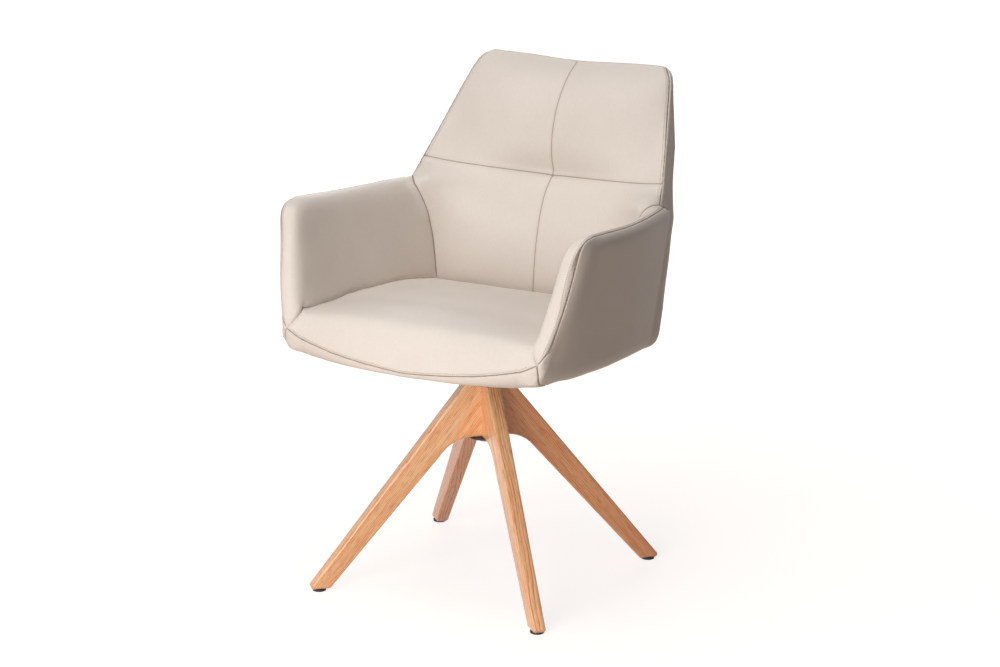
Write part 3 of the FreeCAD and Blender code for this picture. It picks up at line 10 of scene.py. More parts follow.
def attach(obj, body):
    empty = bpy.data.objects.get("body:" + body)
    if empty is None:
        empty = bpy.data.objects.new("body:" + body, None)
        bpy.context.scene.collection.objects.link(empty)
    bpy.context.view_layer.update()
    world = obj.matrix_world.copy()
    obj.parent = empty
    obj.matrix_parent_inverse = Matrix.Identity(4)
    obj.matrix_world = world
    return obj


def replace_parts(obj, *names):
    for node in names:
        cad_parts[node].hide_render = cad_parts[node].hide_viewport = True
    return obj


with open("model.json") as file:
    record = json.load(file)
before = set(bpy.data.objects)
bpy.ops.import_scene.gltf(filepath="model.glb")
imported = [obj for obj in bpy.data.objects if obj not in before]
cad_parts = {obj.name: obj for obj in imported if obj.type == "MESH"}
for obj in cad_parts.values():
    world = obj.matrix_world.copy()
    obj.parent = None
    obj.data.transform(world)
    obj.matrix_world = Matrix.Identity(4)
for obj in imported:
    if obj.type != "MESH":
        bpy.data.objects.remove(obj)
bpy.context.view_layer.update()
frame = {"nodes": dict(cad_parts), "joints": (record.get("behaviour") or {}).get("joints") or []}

# Camera: a long lens in front of the chair and to its right, looking a little down, as in the photograph.
# Its place was worked out from the four feet and the mirrored seams of the shell.
swivel_y = frame["joints"][0]["pos_m"][1]
turn, lift, roll = math.radians(28.2206), math.radians(15.4517), math.radians(0.2907)
back = Vector((math.sin(turn) * math.cos(lift), -math.cos(turn) * math.cos(lift), math.sin(lift)))
level = Vector((math.cos(turn), math.sin(turn), 0))
right = math.cos(roll) * level + math.sin(roll) * back.cross(level)
above = back.cross(right)
bpy.ops.object.camera_add()
camera = bpy.context.object
distance, to_right, to_top = 5.5816, 0.02479, 0.42523
camera.location = Vector((0, swivel_y, 0)) + distance * back + to_right * right + to_top * above
camera.rotation_euler = Matrix((right, above, back)).transposed().to_euler()
camera.data.sensor_width = 36
camera.data.lens = 113.5
camera.data.clip_end = 100
bpy.context.scene.camera = camera
bpy.context.scene.view_settings.view_transform = "Standard"


# Studio: a pale floor that runs out of sight, a large soft key lamp low in front, a wide lamp overhead,
# a weak one behind, and a dim warm surround that the camera and shiny surfaces see as white.
def straight_view(tree):
    """1 where the camera looks, by itself or through a shiny or clear surface, and 0 for soft light."""
    rays = tree.nodes.new("ShaderNodeLightPath")
    seen = rays.outputs["Is Camera Ray"]
    for kind in ("Is Glossy Ray", "Is Transmission Ray"):
        either = tree.nodes.new("ShaderNodeMath")
        either.operation = "MAXIMUM"
        tree.links.new(seen, either.inputs[0])
        tree.links.new(rays.outputs[kind], either.inputs[1])
        seen = either.outputs[0]
    return seen


bpy.ops.mesh.primitive_plane_add(size=60, location=(0, 0, 0))
floor = bpy.context.object
floor.name = "studio_floor"
floor_white = bpy.data.materials.new("studio_floor_white")
floor_white.use_nodes = True
tree = floor_white.node_tree
tree.nodes.clear()
floor_out = tree.nodes.new("ShaderNodeOutputMaterial")
floor_sum = tree.nodes.new("ShaderNodeAddShader")
floor_matt = tree.nodes.new("ShaderNodeBsdfDiffuse")
floor_matt.inputs["Color"].default_value = (0.54, 0.43, 0.34, 1)
floor_glow = tree.nodes.new("ShaderNodeEmission")
floor_glow.inputs["Color"].default_value = (0.955, 0.978, 1, 1)
glow = tree.nodes.new("ShaderNodeMath")
glow.operation = "MULTIPLY"
spot = tree.nodes.new("ShaderNodeTexCoord")
far_off = tree.nodes.new("ShaderNodeVectorMath")
far_off.operation = "LENGTH"
whiter = tree.nodes.new("ShaderNodeMapRange")
whiter.interpolation_type = "SMOOTHSTEP"
for name, number in (("From Min", 0.5), ("From Max", 2.6), ("To Min", 0.80), ("To Max", 1.06)):
    whiter.inputs[name].default_value = number
tree.links.new(spot.outputs["Object"], far_off.inputs[0])
tree.links.new(far_off.outputs["Value"], whiter.inputs["Value"])
tree.links.new(whiter.outputs[0], glow.inputs[1])
tree.links.new(straight_view(tree), glow.inputs[0])
tree.links.new(glow.outputs[0], floor_glow.inputs["Strength"])
tree.links.new(floor_matt.outputs[0], floor_sum.inputs[0])
tree.links.new(floor_glow.outputs[0], floor_sum.inputs[1])
tree.links.new(floor_sum.outputs[0], floor_out.inputs["Surface"])
floor.data.materials.append(floor_white)


def soft_lamp(name, place, aim, side, watts, warmth):
    bpy.ops.object.light_add(type="AREA", location=place)
    lamp = bpy.context.object
    lamp.name = name
    lamp.data.shape = "DISK"
    lamp.data.size = side
    lamp.data.energy = watts
    lamp.data.color = warmth
    lamp.rotation_euler = (Vector(place) - Vector(aim)).to_track_quat("Z", "Y").to_euler()


soft_lamp("key_lamp", (0.05, -2.0, 0.76), aim=(0, 0, 0.46), side=1.6, watts=32, warmth=(1, 0.985, 0.97))
soft_lamp("top_lamp", (-0.25, -0.3, 2.9), aim=(0, 0, 0.5), side=2.0, watts=35, warmth=(1, 0.985, 0.965))
soft_lamp("rear_lamp", (-1.5, 2.3, 1.5), aim=(0, 0, 0.5), side=1.8, watts=18, warmth=(1, 0.97, 0.94))
surround = bpy.data.worlds.new("studio_surround")
bpy.context.scene.world = surround
surround.use_nodes = True
tree = surround.node_tree
tree.nodes.clear()
air_out = tree.nodes.new("ShaderNodeOutputWorld")
air = tree.nodes.new("ShaderNodeBackground")
seen = straight_view(tree)
strength = tree.nodes.new("ShaderNodeMapRange")
strength.inputs["To Min"].default_value = 0.066
strength.inputs["To Max"].default_value = 1.0
air_tint = tree.nodes.new("ShaderNodeMix")
air_tint.data_type = "RGBA"
air_tint.inputs[6].default_value = (1, 0.76, 0.66, 1)
air_tint.inputs[7].default_value = (1, 1, 1, 1)
tree.links.new(seen, strength.inputs["Value"])
tree.links.new(seen, air_tint.inputs[0])
tree.links.new(air_tint.outputs[2], air.inputs["Color"])
tree.links.new(strength.outputs[0], air.inputs["Strength"])
tree.links.new(air.outputs[0], air_out.inputs["Surface"])


# Oak legs: four legs sawn from thick oak boards and mitred together at the hub, their long edges rounded,
# finished with a satin oil. The grain runs down each leg, so each leg's material turns the pattern to suit.
def socket(group, side, name, kind):
    group.interface.new_socket(name=name, in_out=side, socket_type=kind)


def math_node(group, operation, *values):
    node = group.nodes.new("ShaderNodeMath")
    node.operation = operation
    for i, value in enumerate(values):
        if isinstance(value, (int, float)):
            node.inputs[i].default_value = value
        else:
            group.links.new(value, node.inputs[i])
    return node.outputs[0]


def scaled(group, vector, scale):
    node = group.nodes.new("ShaderNodeVectorMath")
    node.operation = "MULTIPLY"
    node.inputs[1].default_value = scale
    group.links.new(vector, node.inputs[0])
    return node.outputs[0]


def noise_node(group, vector, scale, detail=2.0, rough=0.5, distortion=0.0):
    node = group.nodes.new("ShaderNodeTexNoise")
    node.inputs["Scale"].default_value = scale
    node.inputs["Detail"].default_value = detail
    node.inputs["Roughness"].default_value = rough
    node.inputs["Distortion"].default_value = distortion
    group.links.new(vector, node.inputs["Vector"])
    return node.outputs["Fac"]


def ramp_node(group, value, *stops):
    node = group.nodes.new("ShaderNodeValToRGB")
    node.color_ramp.elements[0].position = stops[0][0]
    node.color_ramp.elements[0].color = (*stops[0][1], 1)
    node.color_ramp.elements[1].position = stops[-1][0]
    node.color_ramp.elements[1].color = (*stops[-1][1], 1)
    for place, colour in stops[1:-1]:
        node.color_ramp.elements.new(place).color = (*colour, 1)
    group.links.new(value, node.inputs["Fac"])
    return node.outputs["Color"]


def mix_node(group, blend, share, first, second):
    """Mix two colours. The node's inputs 0, 6 and 7 are the share of the second, the first and the second."""
    node = group.nodes.new("ShaderNodeMix")
    node.data_type = "RGBA"
    node.blend_type = blend
    for index, value in ((0, share), (6, first), (7, second)):
        if isinstance(value, (int, float)):
            node.inputs[index].default_value = value
        elif isinstance(value, tuple):
            node.inputs[index].default_value = (*value, 1)
        else:
            group.links.new(value, node.inputs[index])
    return node.outputs[2]


def map_node(group, value, low, high, to_low, to_high, smooth=False):
    node = group.nodes.new("ShaderNodeMapRange")
    node.interpolation_type = "SMOOTHSTEP" if smooth else "LINEAR"
    group.links.new(value, node.inputs["Value"])
    for name, number in (("From Min", low), ("From Max", high), ("To Min", to_low), ("To Max", to_high)):
        node.inputs[name].default_value = number
    return node.outputs["Result"]


oak_grain = bpy.data.node_groups.new("oak_grain", "ShaderNodeTree")
socket(oak_grain, "INPUT", "Along", "NodeSocketVector")
surface_outputs = (
    ("Color", "NodeSocketColor"), ("Roughness", "NodeSocketFloat"), ("Height", "NodeSocketFloat"))
for name, kind in surface_outputs:
    socket(oak_grain, "OUTPUT", name, kind)
enter = oak_grain.nodes.new("NodeGroupInput")
leave = oak_grain.nodes.new("NodeGroupOutput")
along = enter.outputs["Along"]
parts = oak_grain.nodes.new("ShaderNodeSeparateXYZ")
oak_grain.links.new(along, parts.inputs[0])
drift = noise_node(oak_grain, scaled(oak_grain, along, (2.2, 9, 9)), 1.0, 2.0, 0.5)
across = math_node(
    oak_grain, "ADD", parts.outputs[2],
    math_node(oak_grain, "MULTIPLY", parts.outputs[1], 0.55))
wave = noise_node(oak_grain, scaled(oak_grain, along, (11, 34, 34)), 1.0, 2.0, 0.5)
rings_per_metre = 330
rings = math_node(
    oak_grain, "ADD", math_node(oak_grain, "MULTIPLY", across, rings_per_metre),
    math_node(oak_grain, "ADD", math_node(oak_grain, "MULTIPLY", drift, 12.0),
              math_node(oak_grain, "MULTIPLY", wave, 1.6)))
late = math_node(oak_grain, "POWER", math_node(oak_grain, "FRACT", rings), 2.2)
fibre = noise_node(oak_grain, scaled(oak_grain, along, (14, 620, 620)), 1.0, 3.0, 0.6)
streak = noise_node(oak_grain, scaled(oak_grain, along, (5, 110, 110)), 1.0, 2.0, 0.5)
pores = noise_node(oak_grain, scaled(oak_grain, along, (48, 900, 900)), 1.0, 1.0, 0.5)
pore_mask = map_node(oak_grain, pores, 0.56, 0.69, 0.0, 1.0, True)
blotch = noise_node(oak_grain, scaled(oak_grain, along, (4, 10, 10)), 1.0, 2.0, 0.5)
oak_tone = math_node(
    oak_grain, "ADD", math_node(oak_grain, "MULTIPLY", late, 0.30),
    math_node(oak_grain, "ADD", math_node(oak_grain, "MULTIPLY", fibre, 0.44),
              math_node(oak_grain, "MULTIPLY", streak, 0.36)))
wood = ramp_node(
    oak_grain, oak_tone, (0.28, (1.0, 0.77, 0.49)), (0.45, (1.0, 0.59, 0.30)), (0.59, (0.98, 0.41, 0.165)),
    (0.74, (0.56, 0.16, 0.05)))
wood = mix_node(
    oak_grain, "MULTIPLY", map_node(oak_grain, blotch, 0.3, 0.75, 0.0, 0.2), wood, (0.80, 0.66, 0.56))
wood = mix_node(
    oak_grain, "MULTIPLY", math_node(oak_grain, "MULTIPLY", pore_mask, 0.6), wood, (0.58, 0.34, 0.22))
oak_grain.links.new(wood, leave.inputs["Color"])
oak_grain.links.new(
    math_node(oak_grain, "ADD", math_node(oak_grain, "MULTIPLY", fibre, 0.16),
              math_node(oak_grain, "ADD", math_node(oak_grain, "MULTIPLY", pore_mask, 0.12), 0.30)),
    leave.inputs["Roughness"])
oak_grain.links.new(
    math_node(oak_grain, "SUBTRACT", math_node(oak_grain, "MULTIPLY", fibre, 0.5),
              math_node(oak_grain, "ADD", pore_mask, math_node(oak_grain, "MULTIPLY", late, 0.25))),
    leave.inputs["Height"])


def oak(name, heading, slope, shift, knot=None, painted_shade_share=0.0):
    """Satin-oiled oak, its grain along a heading that slopes down: some boards with a knot, and some made
    redder and darker as painted shade.
    """
    material = bpy.data.materials.new(name)
    material.use_nodes = True
    tree = material.node_tree
    shader = tree.nodes["Principled BSDF"]
    place = tree.nodes.new("ShaderNodeTexCoord")
    first = tree.nodes.new("ShaderNodeMapping")
    first.inputs["Rotation"].default_value = (0, 0, -heading)
    first.inputs["Location"].default_value = (-swivel_y * math.sin(heading), -swivel_y * math.cos(heading), 0)
    second = tree.nodes.new("ShaderNodeMapping")
    second.inputs["Rotation"].default_value = (0, slope, 0)
    second.inputs["Location"].default_value = shift
    grain = tree.nodes.new("ShaderNodeGroup")
    grain.node_tree = oak_grain
    bump = tree.nodes.new("ShaderNodeBump")
    bump.inputs["Strength"].default_value = 0.35
    bump.inputs["Distance"].default_value = 0.0004
    tree.links.new(place.outputs["Object"], first.inputs["Vector"])
    tree.links.new(first.outputs[0], second.inputs["Vector"])
    tree.links.new(second.outputs[0], grain.inputs["Along"])
    # Painted shade: a share of this red-brown multiply darkens and reddens the wood of legs that stand in
    # shade
    colour = mix_node(tree, "MULTIPLY", painted_shade_share, grain.outputs["Color"], (1.0, 0.78, 0.66))
    if knot:
        away = tree.nodes.new("ShaderNodeVectorMath")
        away.operation = "DISTANCE"
        away.inputs[1].default_value = knot
        tree.links.new(place.outputs["Object"], away.inputs[0])
        mask = map_node(tree, away.outputs["Value"], 0.0012, 0.0042, 0.85, 0.0, True)
        colour = mix_node(tree, "MIX", mask, colour, (0.10, 0.035, 0.015))
    tree.links.new(colour, shader.inputs["Base Color"])
    tree.links.new(grain.outputs["Roughness"], shader.inputs["Roughness"])
    tree.links.new(grain.outputs["Height"], bump.inputs["Height"])
    tree.links.new(bump.outputs[0], shader.inputs["Normal"])
    shader.inputs["Coat Weight"].default_value = 0.6
    shader.inputs["Coat Roughness"].default_value = 0.17
    return material


def finish_node(node, material):
    """Give a CAD piece that stays as it is its material."""
    mesh = frame["nodes"][node].data
    mesh.materials.clear()
    mesh.materials.append(material)


# The last number is each leg's share of painted shade: the back legs' wood is made redder and darker for
# their shaded look
legs = {
    "leg_front_left": (225, (0.31, 0.02, 0.014), None, 0.0),
    "leg_front_right": (315, (1.27, 0.11, 0.05), (0.198, -0.212, 0.118), 0.0),
    "leg_back_left": (135, (2.13, 0.05, 0.03), (-0.118, 0.08, 0.204), 0.9),
    "leg_back_right": (45, (3.08, 0.17, 0.02), None, 0.9),
}
leg_slope = math.radians(-51.3)
for leg, (heading, shift, knot, painted_shade_share) in legs.items():
    finish_node(leg, oak(leg + "_oak", math.radians(heading), leg_slope, shift, knot, painted_shade_share))


# Plastic glides under the feet, and the steel and plastic of the swivel: a black painted plate and socket
# tube, zinc-plated screws, turned spindle and bearing, a brass ball cage and pale moulded bushes.
def plain_finish(name, colour, rough, metal, mottling, bump_size, bump_depth, coat=0.0):
    """A finish with its own mottling and fine texture: cast, moulded, painted or plated."""
    material = bpy.data.materials.new(name)
    material.use_nodes = True
    tree = material.node_tree
    shader = tree.nodes["Principled BSDF"]
    place = tree.nodes.new("ShaderNodeTexCoord")
    soft = noise_node(tree, place.outputs["Object"], 60, 3.0, 0.55)
    fine = noise_node(tree, place.outputs["Object"], bump_size, 2.0, 0.5)
    dark = tuple(channel * (1 - mottling) for channel in colour)
    tree.links.new(ramp_node(tree, soft, (0.3, dark), (0.7, colour)), shader.inputs["Base Color"])
    roughness = map_node(tree, soft, 0.3, 0.7, rough * 0.85, min(rough * 1.2, 1))
    tree.links.new(roughness, shader.inputs["Roughness"])
    bump = tree.nodes.new("ShaderNodeBump")
    bump.inputs["Strength"].default_value = 0.5
    bump.inputs["Distance"].default_value = bump_depth
    tree.links.new(fine, bump.inputs["Height"])
    tree.links.new(bump.outputs[0], shader.inputs["Normal"])
    shader.inputs["Metallic"].default_value = metal
    shader.inputs["Coat Weight"].default_value = coat
    return material


black_plastic = plain_finish("glide_black_plastic", (0.018, 0.018, 0.019), 0.5, 0, 0.2, 1800, 0.00008)
black_paint = plain_finish("black_powder_paint", (0.022, 0.022, 0.024), 0.42, 0, 0.25, 2600, 0.00012, 0.1)
zinc = plain_finish("zinc_plated_steel", (0.66, 0.67, 0.68), 0.32, 1, 0.18, 900, 0.00003)
turned_steel = plain_finish("turned_steel", (0.58, 0.58, 0.59), 0.26, 1, 0.12, 3000, 0.00002)
cage_brass = plain_finish("cage_brass", (0.74, 0.55, 0.26), 0.3, 1, 0.15, 900, 0.00003)
pale_plastic = plain_finish("bush_pale_plastic", (0.82, 0.80, 0.74), 0.45, 0, 0.06, 1500, 0.00004)
for node, material in {
    "glide_front_left": black_plastic, "glide_front_right": black_plastic,
    "glide_back_left": black_plastic, "glide_back_right": black_plastic,
    "glide_screws": zinc, "lower_plate": black_paint, "lower_plate_screws": black_paint,
    "socket_tube": black_paint, "flange_screws": zinc, "upper_bush": pale_plastic, "lower_bush": pale_plastic,
    "bearing_lower_race": turned_steel, "bearing_upper_race": turned_steel, "bearing_balls": turned_steel,
    "ball_cage": cage_brass, "swivel_spindle": turned_steel, "retaining_washer": zinc,
    "retaining_clip": black_paint, "seat_plate": black_paint, "seat_plate_bolts": zinc, "tee_nuts": zinc,
    "arm_board_screws": zinc, "back_board_screws": zinc, "dust_cover_staples": zinc,
}.items():
    finish_node(node, material)

# Boards inside the shell: sanded plywood for the seat and arms, and a moulded plywood back.
# The black dust cover under the seat is thin non-woven cloth with a pressed dimple pattern.
for node, heading in (("seat_board", 0), ("arm_board_left", 90), ("arm_board_right", 90), ("back_board", 0),
                      ("rear_rail", 0)):
    finish_node(node, oak(node + "_plywood", math.radians(heading), 0, (0.4, 0.1, 0.2)))
finish_node("dust_cover", plain_finish("dust_cover_cloth", (0.03, 0.03, 0.032), 0.85, 0, 0.3, 700, 0.0003))

# Leather: soft cream leather with a fine pebbled grain, faint clouding, and painted shade along the lines
# where it is sewn.
# The material reads how far each point is from the nearest seam, which every sewn piece carries.
leather_skin = bpy.data.node_groups.new("leather_skin", "ShaderNodeTree")
socket(leather_skin, "INPUT", "Place", "NodeSocketVector")
socket(leather_skin, "INPUT", "Seam", "NodeSocketFloat")
for name, kind in surface_outputs:
    socket(leather_skin, "OUTPUT", name, kind)
enter = leather_skin.nodes.new("NodeGroupInput")
leave = leather_skin.nodes.new("NodeGroupOutput")
place = enter.outputs["Place"]
pebbles = leather_skin.nodes.new("ShaderNodeTexVoronoi")
pebbles.feature = "SMOOTH_F1"
pebbles.inputs["Scale"].default_value = 780
leather_skin.links.new(place, pebbles.inputs["Vector"])
pebble = pebbles.outputs["Distance"]
cloud = noise_node(leather_skin, place, 9, 3.0, 0.55)
speck = noise_node(leather_skin, place, 160, 3.0, 0.6)
crease = noise_node(leather_skin, place, 95, 4.0, 0.62, 0.6)
# A thin dark line painted on each seam stands for the shade in it; a band a few millimetres wide beside it is
# a little darker
seam_shade_line = map_node(leather_skin, enter.outputs["Seam"], 0.0003, 0.0012, 1.0, 0.0, True)
near = map_node(leather_skin, enter.outputs["Seam"], 0.001, 0.007, 1.0, 0.0, True)
hide = ramp_node(leather_skin, cloud, (0.25, (0.695, 0.635, 0.583)), (0.75, (0.735, 0.677, 0.625)))
hide = mix_node(leather_skin, "MULTIPLY", map_node(leather_skin, speck, 0.35, 0.75, 0.0, 0.10), hide,
                (0.78, 0.72, 0.64))
hide = mix_node(leather_skin, "MULTIPLY", map_node(leather_skin, pebble, 0.2, 0.75, 0.0, 0.16), hide,
                (0.70, 0.64, 0.57))
# The band beside each seam is darkened a little, and the seam line itself strongly, as painted shade
hide = mix_node(leather_skin, "MULTIPLY", math_node(leather_skin, "MULTIPLY", near, 0.16), hide,
                (0.72, 0.64, 0.55))
hide = mix_node(leather_skin, "MULTIPLY", math_node(leather_skin, "MULTIPLY", seam_shade_line, 0.75), hide,
                (0.38, 0.32, 0.28))
leather_skin.links.new(hide, leave.inputs["Color"])
leather_skin.links.new(
    math_node(leather_skin, "ADD", math_node(leather_skin, "MULTIPLY", pebble, 0.14),
              math_node(leather_skin, "ADD", math_node(leather_skin, "MULTIPLY", cloud, 0.08), 0.40)),
    leave.inputs["Roughness"])
leather_skin.links.new(
    math_node(leather_skin, "SUBTRACT",
              math_node(leather_skin, "MULTIPLY", crease, 0.8),
              math_node(leather_skin, "ADD", math_node(leather_skin, "MULTIPLY", pebble, 0.55),
                        math_node(leather_skin, "MULTIPLY", seam_shade_line, 1.6))),
    leave.inputs["Height"])
leather = bpy.data.materials.new("cream_leather")
leather.use_nodes = True
tree = leather.node_tree
shader = tree.nodes["Principled BSDF"]
place = tree.nodes.new("ShaderNodeTexCoord")
from_seam = tree.nodes.new("ShaderNodeAttribute")
from_seam.attribute_name = "from_seam"
skin = tree.nodes.new("ShaderNodeGroup")
skin.node_tree = leather_skin
bump = tree.nodes.new("ShaderNodeBump")
bump.inputs["Strength"].default_value = 0.55
bump.inputs["Distance"].default_value = 0.00045
tree.links.new(place.outputs["Object"], skin.inputs["Place"])
tree.links.new(from_seam.outputs["Fac"], skin.inputs["Seam"])
tree.links.new(skin.outputs["Color"], shader.inputs["Base Color"])
tree.links.new(skin.outputs["Roughness"], shader.inputs["Roughness"])
tree.links.new(skin.outputs["Height"], bump.inputs["Height"])
tree.links.new(bump.outputs[0], shader.inputs["Normal"])
shader.inputs["Specular IOR Level"].default_value = 0.35
shader.inputs["Sheen Weight"].default_value = 0.06
shader.inputs["Sheen Roughness"].default_value = 0.5


# Upholstery: the padded arms and back, the stretched leather outside them, the front band and the cushion.
# One skin is drawn tight round the padded solids, then cut along the seams into the sewn leather panels.
def read_points(mesh, kind="co"):
    values = np.empty(len(mesh.vertices) * 3)
    mesh.vertices.foreach_get(kind, values)
    return values.reshape(-1, 3)


def put_points(mesh, coords):
    mesh.vertices.foreach_set("co", coords.ravel())
    mesh.update()


def read_edges(mesh):
    pairs = np.empty(len(mesh.edges) * 2, dtype=int)
    mesh.edges.foreach_get("vertices", pairs)
    return pairs.reshape(-1, 2)


def relaxed(coords, pairs, weight, rounds, swell=0.0):
    """Points drawn towards the middle of their neighbours, and with a swell pushed back to keep the form."""
    count = np.bincount(pairs.ravel(), minlength=len(coords))[:, None]
    share = np.broadcast_to(weight, len(coords))[:, None] * (count > 0)
    count = np.maximum(count, 1)
    pull = 0.5
    for _ in range(rounds):
        for step in (pull, -swell) if swell else (pull,):
            total = np.stack([
                np.bincount(pairs[:, 0], coords[pairs[:, 1], k], len(coords))
                + np.bincount(pairs[:, 1], coords[pairs[:, 0], k], len(coords)) for k in range(3)], axis=1)
            middle = total / count
            coords = coords + (middle - coords) * step * share
    return coords


def tight_skin(name, meshes, voxel):
    """One closed skin round the outside of several touching forms."""
    joined = bmesh.new()
    for source in meshes:
        solid = bmesh.new()
        solid.from_mesh(source)
        bmesh.ops.remove_doubles(solid, verts=solid.verts, dist=1e-5)
        copy = bpy.data.meshes.new(name)
        solid.to_mesh(copy)
        solid.free()
        joined.from_mesh(copy)
        bpy.data.meshes.remove(copy)
    mesh = bpy.data.meshes.new(name)
    joined.to_mesh(mesh)
    joined.free()
    piece = bpy.data.objects.new(name, mesh)
    bpy.context.scene.collection.objects.link(piece)
    bpy.ops.object.select_all(action="DESELECT")
    bpy.context.view_layer.objects.active = piece
    piece.select_set(True)
    remesh = piece.modifiers.new("remesh", "REMESH")
    remesh.mode = "VOXEL"
    remesh.voxel_size = voxel
    bpy.ops.object.modifier_apply(modifier="remesh")
    # The small closed gaps left between the forms are dropped, and only the outside is kept
    skin = bmesh.new()
    skin.from_mesh(mesh)
    spread = [max(skin.verts, key=lambda v: v.co.z)]
    outside = set(spread)
    while spread:
        for edge in spread.pop().link_edges:
            for vert in edge.verts:
                if vert not in outside:
                    outside.add(vert)
                    spread.append(vert)
    bmesh.ops.delete(skin, geom=[v for v in skin.verts if v not in outside], context="VERTS")
    skin.to_mesh(piece.data)
    skin.free()
    return piece


def reach(coords, mesh):
    """How far each point is from a form."""
    tree = BVHTree.FromPolygons([v.co for v in mesh.vertices], [p.vertices for p in mesh.polygons])
    return np.array([tree.find_nearest(Vector(c))[3] for c in coords])


def snap(coords, pairs, values):
    """Move the nearer end of each edge that crosses zero onto the crossing."""
    for i, j in pairs[values[pairs[:, 0]] * values[pairs[:, 1]] < 0]:
        if values[i] * values[j] >= 0:
            continue
        near, far = (i, j) if abs(values[i]) < abs(values[j]) else (j, i)
        coords[near] += (coords[far] - coords[near]) * values[near] / (values[near] - values[far])
        values[near] = 0


def split_faces(mesh, on_seam):
    """The faces, with each square that a seam crosses from corner to corner split there."""
    faces = []
    for polygon in mesh.polygons:
        v = tuple(polygon.vertices)
        if len(v) == 4 and on_seam[v[0]] and on_seam[v[2]] and not (on_seam[v[1]] and on_seam[v[3]]):
            faces += [(v[0], v[1], v[2]), (v[0], v[2], v[3])]
        elif len(v) == 4 and on_seam[v[1]] and on_seam[v[3]] and not (on_seam[v[0]] and on_seam[v[2]]):
            faces += [(v[1], v[2], v[3]), (v[1], v[3], v[0])]
        else:
            faces.append(v)
    return faces


def panel(name, coords, normals, faces, seam_marks, sewn):
    """One sewn panel: its faces of the skin, with a seam allowance turned in along its sewn edges."""
    allowance = 0.004
    used = sorted({v for face in faces for v in face})
    index = {v: i for i, v in enumerate(used)}
    faces = [tuple(index[v] for v in face) for face in faces]
    sides = {}
    for face in faces:
        for a, b in zip(face, face[1:] + face[:1]):
            sides.setdefault((min(a, b), max(a, b)), []).append((a, b))
    points = [Vector(coords[v]) for v in used]
    marks = list(seam_marks[used])
    turned = {}
    for a, b in [found[0] for found in sides.values() if len(found) == 1]:
        if not (sewn[used[a]] and sewn[used[b]]):
            continue
        for v in (a, b):
            if v not in turned:
                turned[v] = len(points)
                points.append(points[v] - Vector(normals[used[v]]) * allowance)
                marks.append(0.0)
        faces.append((b, a, turned[a], turned[b]))
    mesh = bpy.data.meshes.new(name)
    mesh.from_pydata(points, [], faces)
    mesh.attributes.new("from_seam", "FLOAT", "POINT").data.foreach_set("value", marks)
    mesh.polygons.foreach_set("use_smooth", [True] * len(mesh.polygons))
    mesh.materials.append(leather)
    piece = bpy.data.objects.new(name, mesh)
    bpy.context.scene.collection.objects.link(piece)
    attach(piece, "seat")
    return piece


def level_line(coords, faces, values, level):
    """Chains of points along which the values have a level, on the given faces."""
    joins, spots = {}, {}
    for face in faces:
        cuts = []
        for a, b in zip(face, face[1:] + face[:1]):
            if (values[a] < level) != (values[b] < level):
                key = (min(a, b), max(a, b))
                share = (level - values[a]) / (values[b] - values[a])
                spots[key] = coords[a] + (coords[b] - coords[a]) * share
                cuts.append(key)
        if len(cuts) == 2:
            joins.setdefault(cuts[0], []).append(cuts[1])
            joins.setdefault(cuts[1], []).append(cuts[0])
    chains, left = [], set(joins)
    for start in sorted(joins, key=lambda k: len(joins[k])):
        if start not in left:
            continue
        chain = [start]
        left.discard(start)
        while True:
            onward = [k for k in joins[chain[-1]] if k in left]
            if not onward:
                break
            chain.append(onward[0])
            left.discard(onward[0])
        chains.append(np.array([spots[k] for k in chain]))
    return chains


tilt = math.radians(4.5)
hem_height = 0.421


def seat_frame(coords):
    """Points as the tilted shell sees them: across, behind the swivel axis, above the hem."""
    y, z = coords[:, 1] - swivel_y, coords[:, 2] - hem_height
    behind, height = y * math.cos(tilt) - z * math.sin(tilt), z * math.cos(tilt) + y * math.sin(tilt)
    return np.stack([coords[:, 0], behind, height], axis=1)


def ease(values, low, high):
    """A smooth rise from 0 at the low value to 1 at the high one."""
    share = np.clip((values - low) / (high - low), 0, 1)
    return share * share * (3 - 2 * share)


def bell(values, width):
    """A smooth hump: 1 at zero, and nearly gone at twice the width."""
    return np.exp(-(values / width) ** 2)


soft_nodes = ["arm_pad_left", "arm_pad_right", "arm_cover_left", "arm_cover_right", "back_pad", "back_cover",
              "front_band", "seat_cushion"]
# Each soft piece is known by its place in that list, and the seat board by the next number
pads, covers, back_pad, back_cover, band, cushion, board = (0, 1), (2, 3), 4, 5, 6, 7, 8
inner_nodes = ["seat_board", "arm_board_left", "arm_board_right", "back_board", "rear_rail"]
forms = {node: frame["nodes"][node].data for node in soft_nodes + inner_nodes}
# The seat's foam is full behind its front seam and level beside the arms, and falls away at the back
foam = tight_skin("seat_foam", [forms["seat_cushion"]], voxel=0.004)
coords = read_points(foam.data)
local = seat_frame(coords)
seat_half_width = 0.222
edge = np.clip(np.abs(local[:, 0]) / seat_half_width, 0, 1) ** 2
behind, top = local[:, 1], ease(local[:, 2], 0.02, 0.055)
raised = 0.0145 * bell(behind + 0.262, 0.017) * ease(reach(coords, forms["front_band"]), 0.001, 0.014)
raised -= top * (0.005 + 0.0105 * edge) * bell(behind + 0.190, 0.040)
raised -= top * (
    0.003 * edge * ease(behind, -0.20, -0.13) + (0.009 - 0.0063 * edge) * ease(behind, 0.05, 0.15))
raised -= top * edge ** 2 * (0.0105 * bell(behind + 0.255, 0.045) + 0.0024 * bell(behind - 0.005, 0.085))
put_points(foam.data, coords + raised[:, None] * np.array([0, math.sin(tilt), math.cos(tilt)]))
forms["seat_cushion"] = foam.data
